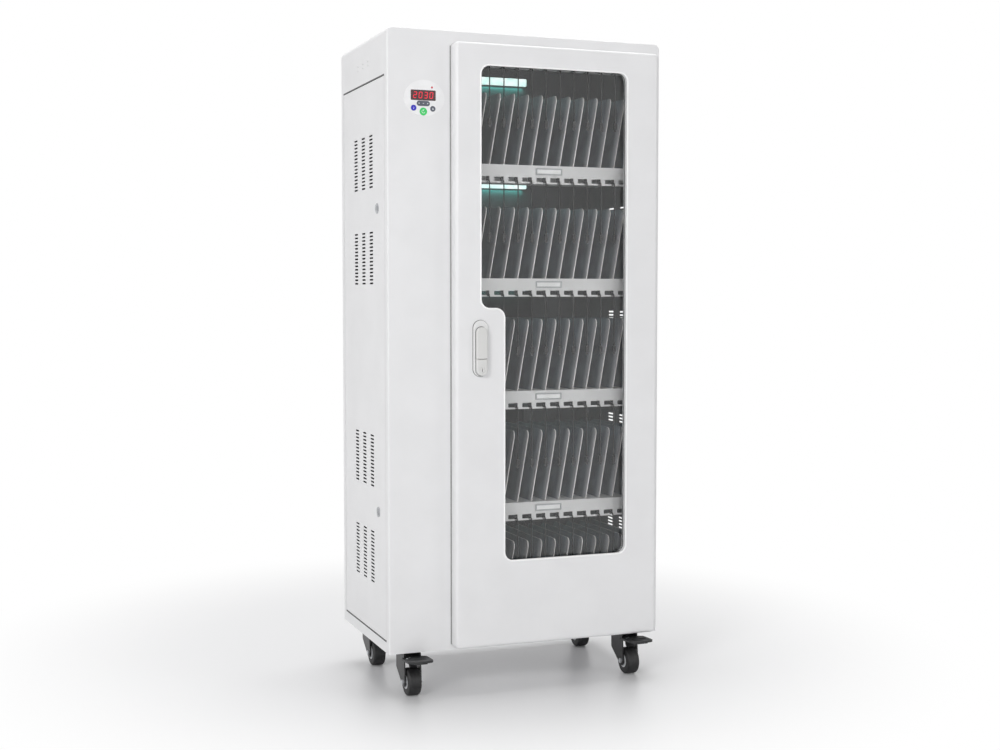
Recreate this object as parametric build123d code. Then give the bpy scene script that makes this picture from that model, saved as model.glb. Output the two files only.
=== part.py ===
from build123d import *
import math
import os

# Tablet charging cabinet on casters: a sheet-metal body with five bays of leaning slots,
# a glazed front door, a service door on the left side, and a charging column behind it.
# Millimetres. X is the width, Y runs from the front to the back, Z is up from the floor.

# Cabinet body
body_width = 670.0
body_height = 1400.0
body_depth = 392.0
sheet = 1.5
top_corner_radius = 14.0
front_edge_radius = 4.0
front_flange_depth = 12.0
base_flange_height = 20.0
base_sheet = 2.0

# Casters
caster_height = 103.0
caster_inset_x = 61.0
caster_inset_y = 50.0
caster_trail = 25.0
wheel_radius = 31.5
wheel_width = 30.0
hub_radius = 16.0
hub_boss_radius = 6.5
axle_radius = 4.0
axle_eye_radius = 11.0
fork_gap = 2.5
fork_wall = 3.0
fork_half_length = 30.0
fork_back_depth = 48.0
race_thick = 3.0
race_radius = 15.5
kingpin_radius = 5.0
plate_size = 60.0
plate_thick = 3.0
plate_bolt_pitch = 44.0
bolt_radius = 3.0
bolt_head_radius = 5.0
bolt_head_height = 2.6
bolt_reach = 7.0
nut_height = 3.0
plate_corner_radius = 6.0
kingpin_reach = 4.5
crown_front = 20.0
crown_apron = 24.0
fork_corner_radius = 9.0
axle_end = 2.0
axle_nut_radius = 6.4
axle_nut_thick = 3.2
tyre_edge_radius = 4.5
hub_proud = 0.5
hub_recess = 1.5
hub_rim = 4.0
pedal_width = 60.0
pedal_reach = 104.0
pedal_thick = 5.0
pedal_slope = 3.0
pedal_pivot_ahead = 22.0
pedal_pivot_drop = 17.5
pedal_pin_radius = 2.0
pedal_pin_end = 1.2
pedal_nose_radius = 15.0
pedal_edge_radius = 1.2
pedal_shoulder = 45.0
pedal_taper = 7.0
pedal_root_ahead = 3.0
pedal_rise = 0.7
pedal_dip_length = 36.0
pedal_dip_width = 14.0
pedal_dip_depth = 1.2
pedal_rim_depth = 2.6
shoe_half_width = 8.0

# Bays behind the door
bay_count = 5
bay_pitch = 260.5
lowest_floor_height = 66.0
slot_count = 12
slot_pitch = 34.85
first_slot_right = 212.4
column_width = 158.0
lead_window_front = 60.0
lead_window_back = 110.0
lead_window_drop = 12.0
lead_window_height = 22.0
shelf_front_setback = 20.0
shelf_back_gap = 42.0
comb_height = 42.0
comb_slot_width = 22.3
comb_slot_height = 10.0
comb_slot_drop = 28.0
comb_slit_width = 5.0
comb_lip_depth = 12.0
comb_slot_radius = 2.0
shelf_flange_height = 20.0
air_slot_length = 46.0
air_slot_width = 8.0
air_slot_depths = (90.0, 170.0, 250.0)
divider_thick = 2.0
divider_height = 166.0
divider_lean = 9.85
divider_corner_radius = 16.0
divider_start = 184.0
divider_front = 36.0
divider_length = 262.0

# Front door
door_left = 149.0
door_right = 651.0
door_bottom = 6.0
door_top = 1372.0
door_thick = 33.0
door_gap = 2.0
door_corner_radius = 10.0
door_edge_radius = 8.5
opening_left = 180.0
opening_right = 636.0
opening_bottom = 40.0
opening_top = 1352.0
opening_radius = 6.0
window_left = 208.0
window_right = 571.0
window_top = 1323.0
window_bottom = 201.5
window_notch_x = 265.0
window_notch_z = 778.5
window_radius = 21.0
window_flange = 14.0
window_edge_radius = 2.6
window_flange_set = 0.5
glass_seat = 3.5
gasket_lap = 0.6
glass_thick = 4.0
glass_margin = 10.0
gasket_thick = 2.0
hinge_inset = 6.5
hinge_depth = 16.0
hinge_pin_radius = 2.5
hinge_barrel_radius = 4.5
hinge_notch_margin = 1.2
hinge_notch_side = 3.4
hinge_notch_depth = 6.4
hinge_leaf_height = 24.0
hinge_knuckle_height = 20.0
hinge_heights = (120.0, 686.0, 1256.0)
hinge_slot_margin = 1.0
hinge_slot_half_width = 2.0
hinge_web_half = 1.5
hinge_foot_thick = 3.0
hinge_foot_side = 4.0
hinge_web_behind = 18.0
hinge_strap_reach = 24.0
hinge_strap_thick = 2.0

# Swing handle and latch
handle_x = 206.4
handle_low = 625.5
handle_high = 752.5
handle_width = 35.0
handle_plate_thick = 5.0
lever_width = 25.0
lever_top = 737.5
lever_low = 628.0
lever_thick = 9.0
lever_pivot = 725.0
lever_lift = 22.0
parting_height = 665.0
parting_gap = 0.8
groove_width = 1.3
groove_depth = 1.6
plate_edge_radius = 2.0
lever_edge_radius = 2.6
knob_half = 4.0
knob_proud = 5.4
knob_edge_radius = 2.0
cross_pin_radius = 1.5
cross_pin_rise = 3.4
pin_half = 9.5
button_drop = 0.4
button_depth = 7.0
keyhole_ring = 7.2
keyhole_ring_width = 0.8
keyhole_half = 4.0
keyhole_width = 1.8
spindle_radius = 6.0
latch_plane = 5.0
cam_length = 36.0
cam_radius = 16.0
cam_tail = 7.0
cam_width = 14.0
cam_screw_radius = 4.0
cam_screw_proud = 0.8
rod_offset = 14.0
rod_width = 9.0
rod_thick = 3.0
rod_end_gap = 37.0
rod_tip_gap = 2.0
guide_heights = (120.0, 560.0, 880.0, 1290.0)
guide_height = 16.0
guide_side = 3.0
guide_front = 2.4

# Service door on the left side
service_front = 20.0
service_back = 373.0
service_bottom = 26.7
service_top = 1296.5
service_depth = 12.0
service_gap = 1.5
service_hinge_gap = 2.0
service_pin_inset = 5.0
service_pin_depth = 4.0
service_lip = 12.0
cam_lock_y = 80.0
cam_lock_heights = (1005.0, 313.0)
cam_lock_radius = 9.5
cam_lock_wall = 2.5
cam_lock_flange = 2.0
cam_lock_flange_thick = 1.8
cam_lock_nut = 3.5
cam_lock_proud = 0.8
cam_half_width = 8.0
cam_reach = 62.0
cam_thick = 2.0
boss_half = 4.0
pin_foot = 5.0
pin_foot_half = 3.0
pin_foot_height = 4.0

# Ventilation
vent_length = 29.0
vent_height = 4.0
vent_pitch = 8.3
vent_rows = 15
vent_columns = (131.0, 196.0, 261.0)
left_vent_heights = (1114.8, 894.2, 426.4, 202.3)
right_vent_rise = 122.0
back_vent_heights = (820.0, 200.0)
back_vent_column_pitch = 65.0
sight_hole_radius = 1.9
sight_hole_columns = (153.0, 196.0, 239.0)
sight_hole_heights = (1345.0, 1335.5)

# Control panel on the front column
panel_x = 86.5
panel_z = 1247.0
panel_width = 94.0
panel_height = 80.0
panel_thick = 1.6
display_width = 58.4
display_height = 23.0
display_rise = 6.0
display_radius = 2.0
display_step = 3.0
key_middle = 84.0
key_proud = 0.9
key_depth = 8.0
key_edge = 0.6
key_collar = 0.8
light_key_place = (61.5, 1224.4)
light_key_radius = 6.3
lock_key_place = (106.3, 1223.9)
lock_key_radius = 6.0
power_key_place = (84.1, 1217.0)
power_key_radius = 8.5
rocker_z = 1234.85
rocker_width = 30.0
rocker_height = 11.0
rocker_groove = 0.7
rocker_groove_offset = 5.2
rocker_hole_gap = 0.7
rocker_back = 1.5
rocker_pivot_depth = 1.5
rocker_barrel_radius = 2.6
rocker_barrel_half = 4.0

# Fans and mains inlet on the back
fan_size = 120.0
fan_depth = 25.0
fan_bore = 57.0
fan_tip = 55.0
fan_hub = 20.0
fan_heights = (1180.0, 470.0)
fan_x = 410.0
guard_wire = 2.0
guard_rings = (14.0, 27.0, 40.0, 53.0)
guard_lug_radius = 5.0

# Working clearances
running_fit = 0.05
loose_fit = 0.3

# Places that follow from the sizes above
guard_reach = 2.0 * guard_wire
front_overhang = pedal_reach - caster_inset_y
front = (front_overhang - body_depth - guard_reach) / 2.0
back = front + body_depth
left = -body_width / 2.0
right = body_width / 2.0
bottom = caster_height
top = caster_height + body_height
column_wall = left + column_width
inner_right = right - sheet
bay_left = column_wall + sheet
door_back = front - door_gap
door_front = door_back - door_thick
hinge_x = left + door_right - hinge_inset
hinge_y = door_back - hinge_depth


def across(x):
    """A place across the width, counted from the body's left side."""
    return left + x


def deep(y):
    """A place in the depth, counted from the body's front face."""
    return front + y


def high(z):
    """A height, counted from the body's underside."""
    return bottom + z


def block(x0, x1, y0, y1, z0, z1):
    """A box between two corners."""
    size = Box(abs(x1 - x0), abs(y1 - y0), abs(z1 - z0))
    return Pos((x0 + x1) / 2.0, (y0 + y1) / 2.0, (z0 + z1) / 2.0) * size


def facing_front(y):
    """A plane at depth y whose sketch shows X to the right and Z up."""
    return Plane(origin=(0, y, 0), x_dir=(1, 0, 0), z_dir=(0, -1, 0))


def facing_right(x):
    """A plane at x whose sketch shows Y to the right and Z up."""
    return Plane(origin=(x, 0, 0), x_dir=(0, 1, 0), z_dir=(1, 0, 0))


def slab(sketch, y0, y1):
    """A sketch in X and Z, thickened from y0 back to y1."""
    return extrude(facing_front(y1) * sketch, y1 - y0)


def side_slab(sketch, x0, x1):
    """A sketch in Y and Z, thickened from x0 right to x1."""
    return extrude(facing_right(x0) * sketch, x1 - x0)


def rod_along_x(x0, x1, y, z, radius):
    return side_slab(Pos(y, z) * Circle(radius), x0, x1)


def rod_along_y(x, y0, y1, z, radius):
    return slab(Pos(x, z) * Circle(radius), y0, y1)


def rod_along_z(x, y, z0, z1, radius):
    return Pos(x, y, (z0 + z1) / 2.0) * Cylinder(radius, z1 - z0)


def rectangle(x0, x1, z0, z1, radius=0.0):
    """A rectangle between two corners, with rounded corners where a radius is given."""
    place = Pos((x0 + x1) / 2.0, (z0 + z1) / 2.0)
    if radius > 0.0:
        return place * RectangleRounded(x1 - x0, z1 - z0, radius)
    return place * Rectangle(x1 - x0, z1 - z0)


def stadium(x, z0, z1, width):
    """An upright slot shape, round at both ends."""
    return Pos(x, (z0 + z1) / 2.0) * SlotOverall(z1 - z0, width, rotation=90)


def save(name, *shapes):
    """Write one sub-part; separate solids in it stay separate."""
    solids = [solid for shape in shapes for solid in shape.solids()]
    whole = solids[0] if len(solids) == 1 else Compound(solids)
    whole.label = name
    export_step(whole, os.path.join("parts", name + ".step"))


def body_outline(inset):
    """The body's front view: square at the bottom, rounded at the top corners."""
    outline = rectangle(left + inset, right - inset, bottom + inset, top - inset)
    upper = outline.vertices().group_by(Axis.Y)[-1]
    return fillet(upper, top_corner_radius - inset)


def vent_group(along, height):
    """Three columns of short slots about one height, in Y and Z."""
    slots = []
    first = height - vent_pitch * (vent_rows - 1) / 2.0
    for column in along:
        for row in range(vent_rows):
            place = Pos(deep(column), high(first + row * vent_pitch))
            slots.append(place * SlotOverall(vent_length, vent_height))
    return slots


def bay_floor(bay):
    """The height of a bay's floor above the body's underside, bay 1 being the highest."""
    return lowest_floor_height + (bay_count - bay) * bay_pitch


# Cabinet shell

def service_rectangle(grow):
    return rectangle(
        deep(service_front) - grow,
        deep(service_back) + grow,
        high(service_bottom) - grow,
        high(service_top) + grow,
    )


def make_shell():
    start = front + front_flange_depth
    legs = rectangle(left - 1.0, right + 1.0, bottom - 1.0, bottom + sheet)
    wall = body_outline(0.0) - body_outline(sheet) - legs
    wall += rectangle(left, left + sheet, bottom, bottom + 2.0 * sheet)
    wall += rectangle(right - sheet, right, bottom, bottom + 2.0 * sheet)
    shell = slab(wall, start, back)
    rim = service_rectangle(sheet)
    shell += side_slab(rim - service_rectangle(0.0), left, left + service_depth + 2.0 * sheet)
    shell -= side_slab(service_rectangle(0.0), left - 1.0, left + 2.0 * sheet)
    lip_face = left + service_depth + sheet / 2.0
    lip_hole = rectangle(
        deep(service_front) + service_lip,
        deep(service_back) + sheet,
        high(service_bottom) + service_lip,
        high(service_top) - service_lip,
    )
    lip_end = rectangle(
        deep(service_back) - 2.0 * service_lip,
        deep(service_back) + sheet,
        high(service_bottom),
        high(service_top),
    )
    lip = service_rectangle(0.0) - lip_hole - lip_end
    shell += side_slab(lip, lip_face, lip_face + sheet)
    pin_x = left + service_pin_depth
    pin_y = deep(service_back) - service_hinge_gap - service_pin_inset
    pin_low = high(service_bottom) - 2.0 * sheet
    pin_high = high(service_top) + 2.0 * sheet
    shell -= rod_along_z(pin_x, pin_y, pin_low, pin_high, hinge_pin_radius)
    holes = []
    for column in sight_hole_columns:
        for height in sight_hole_heights:
            holes.append(Pos(deep(column), high(height)) * Circle(sight_hole_radius))
    shell -= side_slab(Sketch() + holes, left - 1.0, left + 2.0 * sheet)
    for bay in range(1, bay_count + 1):
        group = vent_group(vent_columns, bay_floor(bay) + right_vent_rise)
        shell -= side_slab(Sketch() + group, right - 2.0 * sheet, right + 1.0)
    return shell


def make_front_frame():
    outer = slab(body_outline(0.0), front, front + front_flange_depth)
    upright = outer.edges().filter_by(Axis.Z).group_by(Axis.Y)[0]
    outer = fillet(upright, front_edge_radius)
    inner = slab(body_outline(sheet), front + sheet, front + front_flange_depth)
    inner_edges = inner.edges().filter_by(Axis.Z).group_by(Axis.Y)[0]
    inner = fillet(inner_edges, front_edge_radius - sheet)
    frame = outer - inner
    opening = rectangle(
        across(opening_left), across(opening_right), high(opening_bottom), high(opening_top),
        opening_radius,
    )
    frame -= slab(opening, front - 1.0, front + 2.0 * sheet)
    for height in hinge_heights:
        half = hinge_leaf_height / 2.0 + hinge_slot_margin
        frame -= block(
            hinge_x - hinge_slot_half_width, hinge_x + hinge_slot_half_width,
            front - 1.0, front + 2.0 * sheet, high(height - half), high(height + half),
        )
    for x, z, radius in key_holes():
        frame -= rod_along_y(x, front - 1.0, front + 2.0 * sheet, z, radius)
    frame -= slab(rocker_outline(rocker_hole_gap), front - 1.0, front + 2.0 * sheet)
    frame -= slab(display_outline(-display_step), front - 1.0, front + 2.0 * sheet)
    return frame


def make_back_panel():
    inset = sheet
    outline = rectangle(left + inset, right - inset, bottom, top - inset)
    upper = outline.vertices().group_by(Axis.Y)[-1]
    outline = fillet(upper, top_corner_radius)
    panel = slab(outline, back - sheet, back)
    for height in fan_heights:
        panel -= rod_along_y(across(fan_x), back - 2.0 * sheet, back + 1.0, high(height), fan_bore)
        for x, z in fan_screws(height):
            panel -= rod_along_y(x, back - 2.0 * sheet, back + 1.0, z, fan_screw_hole)
    for height in back_vent_heights:
        slots = []
        for column in range(3):
            for row in range(vent_rows):
                x = across(fan_x) + (column - 1) * back_vent_column_pitch
                z = high(height) + (row - (vent_rows - 1) / 2.0) * vent_pitch
                slots.append(Pos(x, z) * SlotOverall(vent_length, vent_height))
        panel -= slab(Sketch() + slots, back - 2.0 * sheet, back + 1.0)
    panel -= block(
        inlet_x - inlet_width / 2.0, inlet_x + inlet_width / 2.0, back - 2.0 * sheet, back + 1.0,
        inlet_z - inlet_height / 2.0, inlet_z + inlet_height / 2.0,
    )
    return panel


def make_base_pan():
    low_y = front + front_flange_depth
    high_y = back - sheet
    outer = block(left + sheet, right - sheet, low_y, high_y, bottom, bottom + base_flange_height)
    wall = base_sheet
    inner = block(
        left + sheet + wall, right - sheet - wall, low_y + wall, high_y - wall,
        bottom + wall, bottom + base_flange_height + 1.0,
    )
    pan = outer - inner
    for x, y in caster_places():
        for bolt_x, bolt_y in plate_bolts(x, y):
            pan -= rod_along_z(bolt_x, bolt_y, bottom - 1.0, bottom + 2.0 * wall, bolt_radius)
    return pan


def make_partition():
    wall = block(
        column_wall, column_wall + sheet, front + front_flange_depth, back - sheet,
        bottom + base_flange_height + loose_fit, top - sheet,
    )
    for bay in range(1, bay_count + 1):
        floor = high(bay_floor(bay))
        wall -= block(
            column_wall - 1.0, column_wall + 2.0 * sheet,
            deep(lead_window_front), deep(lead_window_back),
            floor - lead_window_drop - lead_window_height, floor - lead_window_drop,
        )
    return wall


# Shelves, comb strips and dividers

def comb_slots(floor):
    """The keyhole slots of one comb strip: a wide mouth with a slit down to the lower edge."""
    slots = []
    top_edge = floor - comb_slot_drop
    for slot in range(slot_count):
        right_end = across(first_slot_right + slot * slot_pitch)
        mouth = rectangle(
            right_end - comb_slot_width, right_end, top_edge - comb_slot_height, top_edge,
            comb_slot_radius,
        )
        slit = rectangle(
            right_end - comb_slit_width, right_end,
            floor - comb_height - 1.0, top_edge - comb_slot_height / 2.0,
        )
        slots += [mouth, slit]
    return Sketch() + slots


def comb_strip(floor, top_edge):
    """The vertical strip along a bay's front, with its lip turned back at the bottom."""
    face = deep(shelf_front_setback)
    low = floor - comb_height
    start = bay_left + loose_fit
    end = inner_right - loose_fit
    strip = block(start, end, face, face + sheet, low, top_edge)
    strip += block(start, end, face, face + comb_lip_depth, low, low + sheet)
    strip -= slab(comb_slots(floor), face - 1.0, face + comb_lip_depth + 1.0)
    return strip & slab(body_outline(sheet + loose_fit), face, face + comb_lip_depth)


def make_shelf(bay):
    floor = high(bay_floor(bay))
    face = deep(shelf_front_setback)
    rear = deep(body_depth - shelf_back_gap)
    start = bay_left + loose_fit
    end = inner_right - loose_fit
    if bay == bay_count:
        shelf = block(start, end, face, face + sheet, floor - comb_height + sheet, floor)
    else:
        shelf = comb_strip(floor, floor)
    shelf += block(start, end, face, rear, floor - sheet, floor)
    low = floor - shelf_flange_height
    shelf += block(start, end, rear - sheet, rear, low, floor)
    shelf += block(start, start + sheet, face, rear, low, floor)
    shelf += block(end - sheet, end, face, rear, low, floor)
    for slot in range(slot_count):
        x = across(divider_start + (slot + 0.5) * slot_pitch)
        for y in air_slot_depths:
            slot_shape = SlotOverall(air_slot_length, air_slot_width, rotation=90)
            shelf -= Pos(x, deep(y), floor) * extrude(slot_shape, 2.0, both=True)
    return shelf


def make_top_comb():
    return comb_strip(high(bay_floor(0)), top - sheet)


def make_divider(bay, index):
    """One leaning slot wall; its foot is cut level to stand flat on the shelf."""
    lean = math.radians(divider_lean)
    length = divider_height / math.cos(lean)
    extra = divider_thick * math.tan(lean) + 1.0
    face = rectangle(
        deep(divider_front), deep(divider_front + divider_length), -extra, length
    )
    upper = face.vertices().group_by(Axis.Y)[-1]
    face = fillet(upper, divider_corner_radius)
    plate = extrude(Plane.YZ * face, divider_thick)
    plate = Rot(0, divider_lean, 0) * plate
    foot_x = across(divider_start + index * slot_pitch)
    plate = Pos(foot_x, 0, high(bay_floor(bay))) * plate
    floor = high(bay_floor(bay))
    below = block(
        foot_x - slot_pitch, foot_x + slot_pitch, front, back, floor - slot_pitch, floor
    )
    return plate - below


def make_dividers():
    return [
        make_divider(bay, index)
        for bay in range(1, bay_count + 1)
        for index in range(slot_count + 1)
    ]


holder_left = 362.5
holder_right = 428.0
holder_drop = 6.0
holder_height = 15.5
holder_rim = 2.5
holder_thick = 3.0
holder_base = 1.0


def make_label_holders():
    """A small ledged holder for a card on the front of each shelf."""
    holders = []
    face = deep(shelf_front_setback)
    for bay in range(1, bay_count + 1):
        upper = high(bay_floor(bay)) - holder_drop
        lower = upper - holder_height
        outer = rectangle(across(holder_left), across(holder_right), lower, upper, 1.5)
        inner = rectangle(
            across(holder_left) + holder_rim, across(holder_right) - holder_rim,
            lower + holder_rim, upper - holder_rim, 0.8,
        )
        holder = slab(outer, face - holder_thick, face)
        holder -= slab(inner, face - holder_thick - 1.0, face - holder_base)
        holders.append(holder)
    return holders


# Charging leads: one hangs from each comb slot

cord_radius = 1.5
cord_offset = 3.4
sleeve_half_width = 2.8
sleeve_half_height = 4.0
sleeve_back = 5.2
grommet_flange = 1.4
grommet_flange_side = 0.8
plug_relief = 6.0
plug_relief_wall = 0.7
plug_grip = 14.0
plug_grip_width = 8.6
plug_grip_thick = 5.0
plug_tongue = 6.6
plug_tongue_width = 6.0
plug_tongue_thick = 1.8
plug_overlap = 0.5
cord_route = (
    (0.0, 3.3, 0.0),
    (0.0, -5.1, 0.0),
    (0.3, -11.0, -6.0),
    (0.9, -11.3, -20.0),
    (1.3, -10.2, -44.0),
    (0.7, -10.8, -82.0),
    (1.3, -10.2, -119.5),
)


def slot_centre(bay, slot):
    """Where a lead comes out of the comb strip at the top of a bay."""
    x = across(first_slot_right + slot * slot_pitch) - cord_offset
    z = high(bay_floor(bay - 1)) - comb_slot_drop - comb_slot_height / 2.0
    return Vector(x, deep(shelf_front_setback), z)


def make_grommet(bay, slot):
    """A rubber sleeve clipped into the comb strip; its blind bore holds the lead's end."""
    place = slot_centre(bay, slot)
    face = place.Y - grommet_flange
    sleeve = block(
        place.X - sleeve_half_width, place.X + sleeve_half_width, place.Y, place.Y + sleeve_back,
        place.Z - sleeve_half_height, place.Z + sleeve_half_height,
    )
    flange = block(
        place.X - sleeve_half_width - grommet_flange_side,
        place.X + sleeve_half_width + grommet_flange_side,
        face, place.Y,
        place.Z - sleeve_half_height - grommet_flange, place.Z + sleeve_half_height + grommet_flange,
    )
    blind_end = place.Y + cord_route[0][1]
    bore = rod_along_y(place.X, face - 1.0, blind_end, place.Z, cord_radius + running_fit)
    return sleeve + flange - bore


def cord_points(bay, slot):
    start = slot_centre(bay, slot)
    return [start + Vector(*point) for point in cord_route]


def corner_radii(points):
    """The arc at each corner: as large as its two runs allow."""
    radii = []
    for before, corner, after in zip(points, points[1:], points[2:]):
        first = corner - before
        second = after - corner
        turn = math.radians(first.get_angle(second))
        run = min(first.length, second.length)
        radii.append(0.45 * run / math.tan(turn / 2.0))
    return radii


def make_cord(bay, slot):
    points = cord_points(bay, slot)
    path = FilletPolyline(*points, radius=corner_radii(points))
    start = Plane(origin=path @ 0, z_dir=path % 0)
    return sweep(start * Circle(cord_radius), path=path)


def make_plug(bay, slot):
    """A moulded plug: strain relief above, grip, and a flat metal tongue below."""
    points = cord_points(bay, slot)
    along = (points[-1] - points[-2]).normalized()
    here = Plane(origin=points[-1], x_dir=(1, 0, 0), z_dir=along)
    grip_start = plug_relief - plug_overlap
    relief = extrude(here * Circle(cord_radius + plug_relief_wall), plug_relief)
    grip = extrude(here.offset(grip_start) * Rectangle(plug_grip_width, plug_grip_thick), plug_grip)
    grip = chamfer(grip.edges(), 0.6)
    tongue_start = grip_start + plug_grip - plug_overlap
    section = Rectangle(plug_tongue_width, plug_tongue_thick)
    return relief + grip + extrude(here.offset(tongue_start) * section, plug_tongue)


def each_lead(maker):
    return [
        maker(bay, slot) for bay in range(1, bay_count + 1) for slot in range(slot_count)
    ]


# Bay lights on the back wall

light_left = 170.0
light_right = 481.0
light_rise = 233.0
light_height = 19.0
light_body = 14.0
light_wall = 2.5
light_base = 3.0
light_proud = 2.0
light_fit = 0.2


def light_box(bay, grow, y0, y1):
    low = high(bay_floor(bay) + light_rise)
    outline = rectangle(
        across(light_left) - grow, across(light_right) + grow,
        low - grow, low + light_height + grow, 3.0 + grow,
    )
    return slab(outline, y0, y1)


def make_light_housing(bay):
    rear = back - sheet
    housing = light_box(bay, light_wall, rear - light_body, rear)
    return housing - light_box(bay, 0.0, rear - light_body - 1.0, rear - light_base)


def make_light_diffuser(bay):
    rear = back - sheet
    return light_box(bay, -light_fit, rear - light_body - light_proud, rear - light_base)


# Charging column

charger_rise = 20.0
charger_width = 52.0
charger_height = 86.0
charger_front = 130.0
charger_back = 300.0
outlet_count = 6
outlet_pitch = 12.5
outlet_width = 28.0
outlet_height = 5.2
outlet_depth = 12.0
cooling_slot_count = 5
cooling_slot_pitch = 18.0
cooling_slot_width = 8.0
cooling_slot_depth = 2.0


def make_charger(bay):
    """One multi-port charger, screwed to the partition; its outlets face the front."""
    low = high(bay_floor(bay)) + charger_rise
    side = column_wall - charger_width
    case = block(
        side, column_wall, deep(charger_front), deep(charger_back), low, low + charger_height
    )
    case = fillet(case.edges().filter_by(Axis.Y), 3.0)
    middle = column_wall - charger_width / 2.0
    for row in range(outlet_count):
        z = low + 12.0 + row * outlet_pitch
        case -= block(
            middle - outlet_width / 2.0, middle + outlet_width / 2.0,
            deep(charger_front) - 1.0, deep(charger_front) + outlet_depth,
            z - outlet_height / 2.0, z + outlet_height / 2.0,
        )
    for row in range(cooling_slot_count):
        y = deep(charger_front + 48.0 + row * cooling_slot_pitch)
        case -= block(
            side - 1.0, side + cooling_slot_depth, y, y + cooling_slot_width,
            low + 16.0, low + charger_height - 16.0,
        )
    return case


def key_holes():
    """Centre and hole radius of the three round keys, as X, Z, radius."""
    keys = (
        (light_key_place, light_key_radius),
        (lock_key_place, lock_key_radius),
        (power_key_place, power_key_radius),
    )
    return [(across(x), high(z), radius + loose_fit) for (x, z), radius in keys]


def display_outline(grow):
    half = display_width / 2.0 + grow
    rise = high(panel_z + display_rise)
    return rectangle(
        across(key_middle) - half, across(key_middle) + half,
        rise - display_height / 2.0 - grow, rise + display_height / 2.0 + grow,
        max(display_radius + grow, key_edge),
    )


def rocker_outline(grow):
    half = rocker_width / 2.0 + grow
    rise = rocker_height / 2.0 + grow
    return rectangle(
        across(key_middle) - half, across(key_middle) + half,
        high(rocker_z) - rise, high(rocker_z) + rise, rise - 0.1,
    )


def make_panel_bezel():
    oval = Pos(across(panel_x), high(panel_z)) * Ellipse(panel_width / 2.0, panel_height / 2.0)
    bezel = slab(oval, front - panel_thick, front)
    bezel -= slab(display_outline(0.0), front - panel_thick - 1.0, front + 1.0)
    bezel -= slab(rocker_outline(loose_fit), front - panel_thick - 1.0, front + 1.0)
    for x, z, radius in key_holes():
        bezel -= rod_along_y(x, front - panel_thick - 1.0, front + 1.0, z, radius)
    return bezel


def make_display():
    face = slab(display_outline(0.0), front - panel_thick + 0.4, front)
    return face + slab(display_outline(-display_step), front, front + 2.0 * sheet)


def make_key(index):
    """A round key with a stem through the front plate and a collar behind it."""
    x, z, hole = key_holes()[index]
    radius = hole - loose_fit
    face = front - panel_thick - key_proud
    key = rod_along_y(x, face, front + key_depth, z, radius)
    rim = key.edges().group_by(Axis.Y)[0]
    key = fillet(rim, key_edge)
    collar_at = front + sheet + loose_fit
    return key + rod_along_y(x, collar_at, collar_at + 1.0, z, hole + key_collar)


def make_rocker_key():
    """The three-part pill key: a bar with two grooves across it, which rocks on its round back."""
    face = front - panel_thick - key_proud
    bar = slab(rocker_outline(0.0), face, front + sheet + rocker_back)
    for side in (-1.0, 1.0):
        x = across(key_middle) + side * rocker_groove_offset
        bar -= block(
            x - rocker_groove / 2.0, x + rocker_groove / 2.0, face - 1.0, face + 0.5,
            high(rocker_z - rocker_height), high(rocker_z + rocker_height),
        )
    return bar + rod_along_z(
        across(key_middle), front + rocker_pivot_depth, high(rocker_z) - rocker_barrel_half,
        high(rocker_z) + rocker_barrel_half, rocker_barrel_radius,
    )


control_left = 36.0
control_right = 134.0
control_low = 1204.0
control_high = 1288.0
control_depth = 34.0
control_wall = 2.0


def control_rectangle(inset):
    return rectangle(
        across(control_left) + inset, across(control_right) - inset,
        high(control_low) + inset, high(control_high) - inset, 4.0 - inset,
    )


def make_control_box():
    """The electronics box behind the front plate, with a post behind every key."""
    face = front + sheet
    floor = face + control_depth - control_wall
    box = slab(control_rectangle(0.0), face, face + control_depth)
    box -= slab(control_rectangle(control_wall), face - 1.0, floor)
    low = high(control_low + 6.0)
    box += block(across(50.0), across(118.0), face + 13.0, floor + 0.5, low, low + 6.0)
    for x, z, radius in key_holes():
        box += rod_along_y(x, face + 10.0, floor + 0.5, z, 2.4)
    for side in (-1.0, 1.0):
        x = across(key_middle) + side * 21.0
        box += block(x - 3.0, x + 3.0, face + 6.0, floor + 0.5, high(1245.0), high(1262.0))
    return box


# Mains inlet on the back panel

inlet_width = 46.0
inlet_height = 60.0
inlet_x = across(80.0)
inlet_z = high(110.0)
switch_z = inlet_z + 15.5
switch_radius = 12.0
switch_width = 20.0
switch_angle = 16.0
switch_ridge = 4.5
switch_setback = 4.0
inlet_depth = 32.0
inlet_flange = 3.0
inlet_flange_thick = 1.6
socket_half_width = 13.5
socket_low = 25.0
socket_high = 5.0
socket_depth = 18.0
socket_chamfer = 5.0
socket_pins = ((-7.0, -13.0), (0.0, -17.0), (7.0, -13.0))


def inlet_rectangle(grow):
    return rectangle(
        inlet_x - inlet_width / 2.0 - grow, inlet_x + inlet_width / 2.0 + grow,
        inlet_z - inlet_height / 2.0 - grow, inlet_z + inlet_height / 2.0 + grow, grow,
    )


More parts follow.
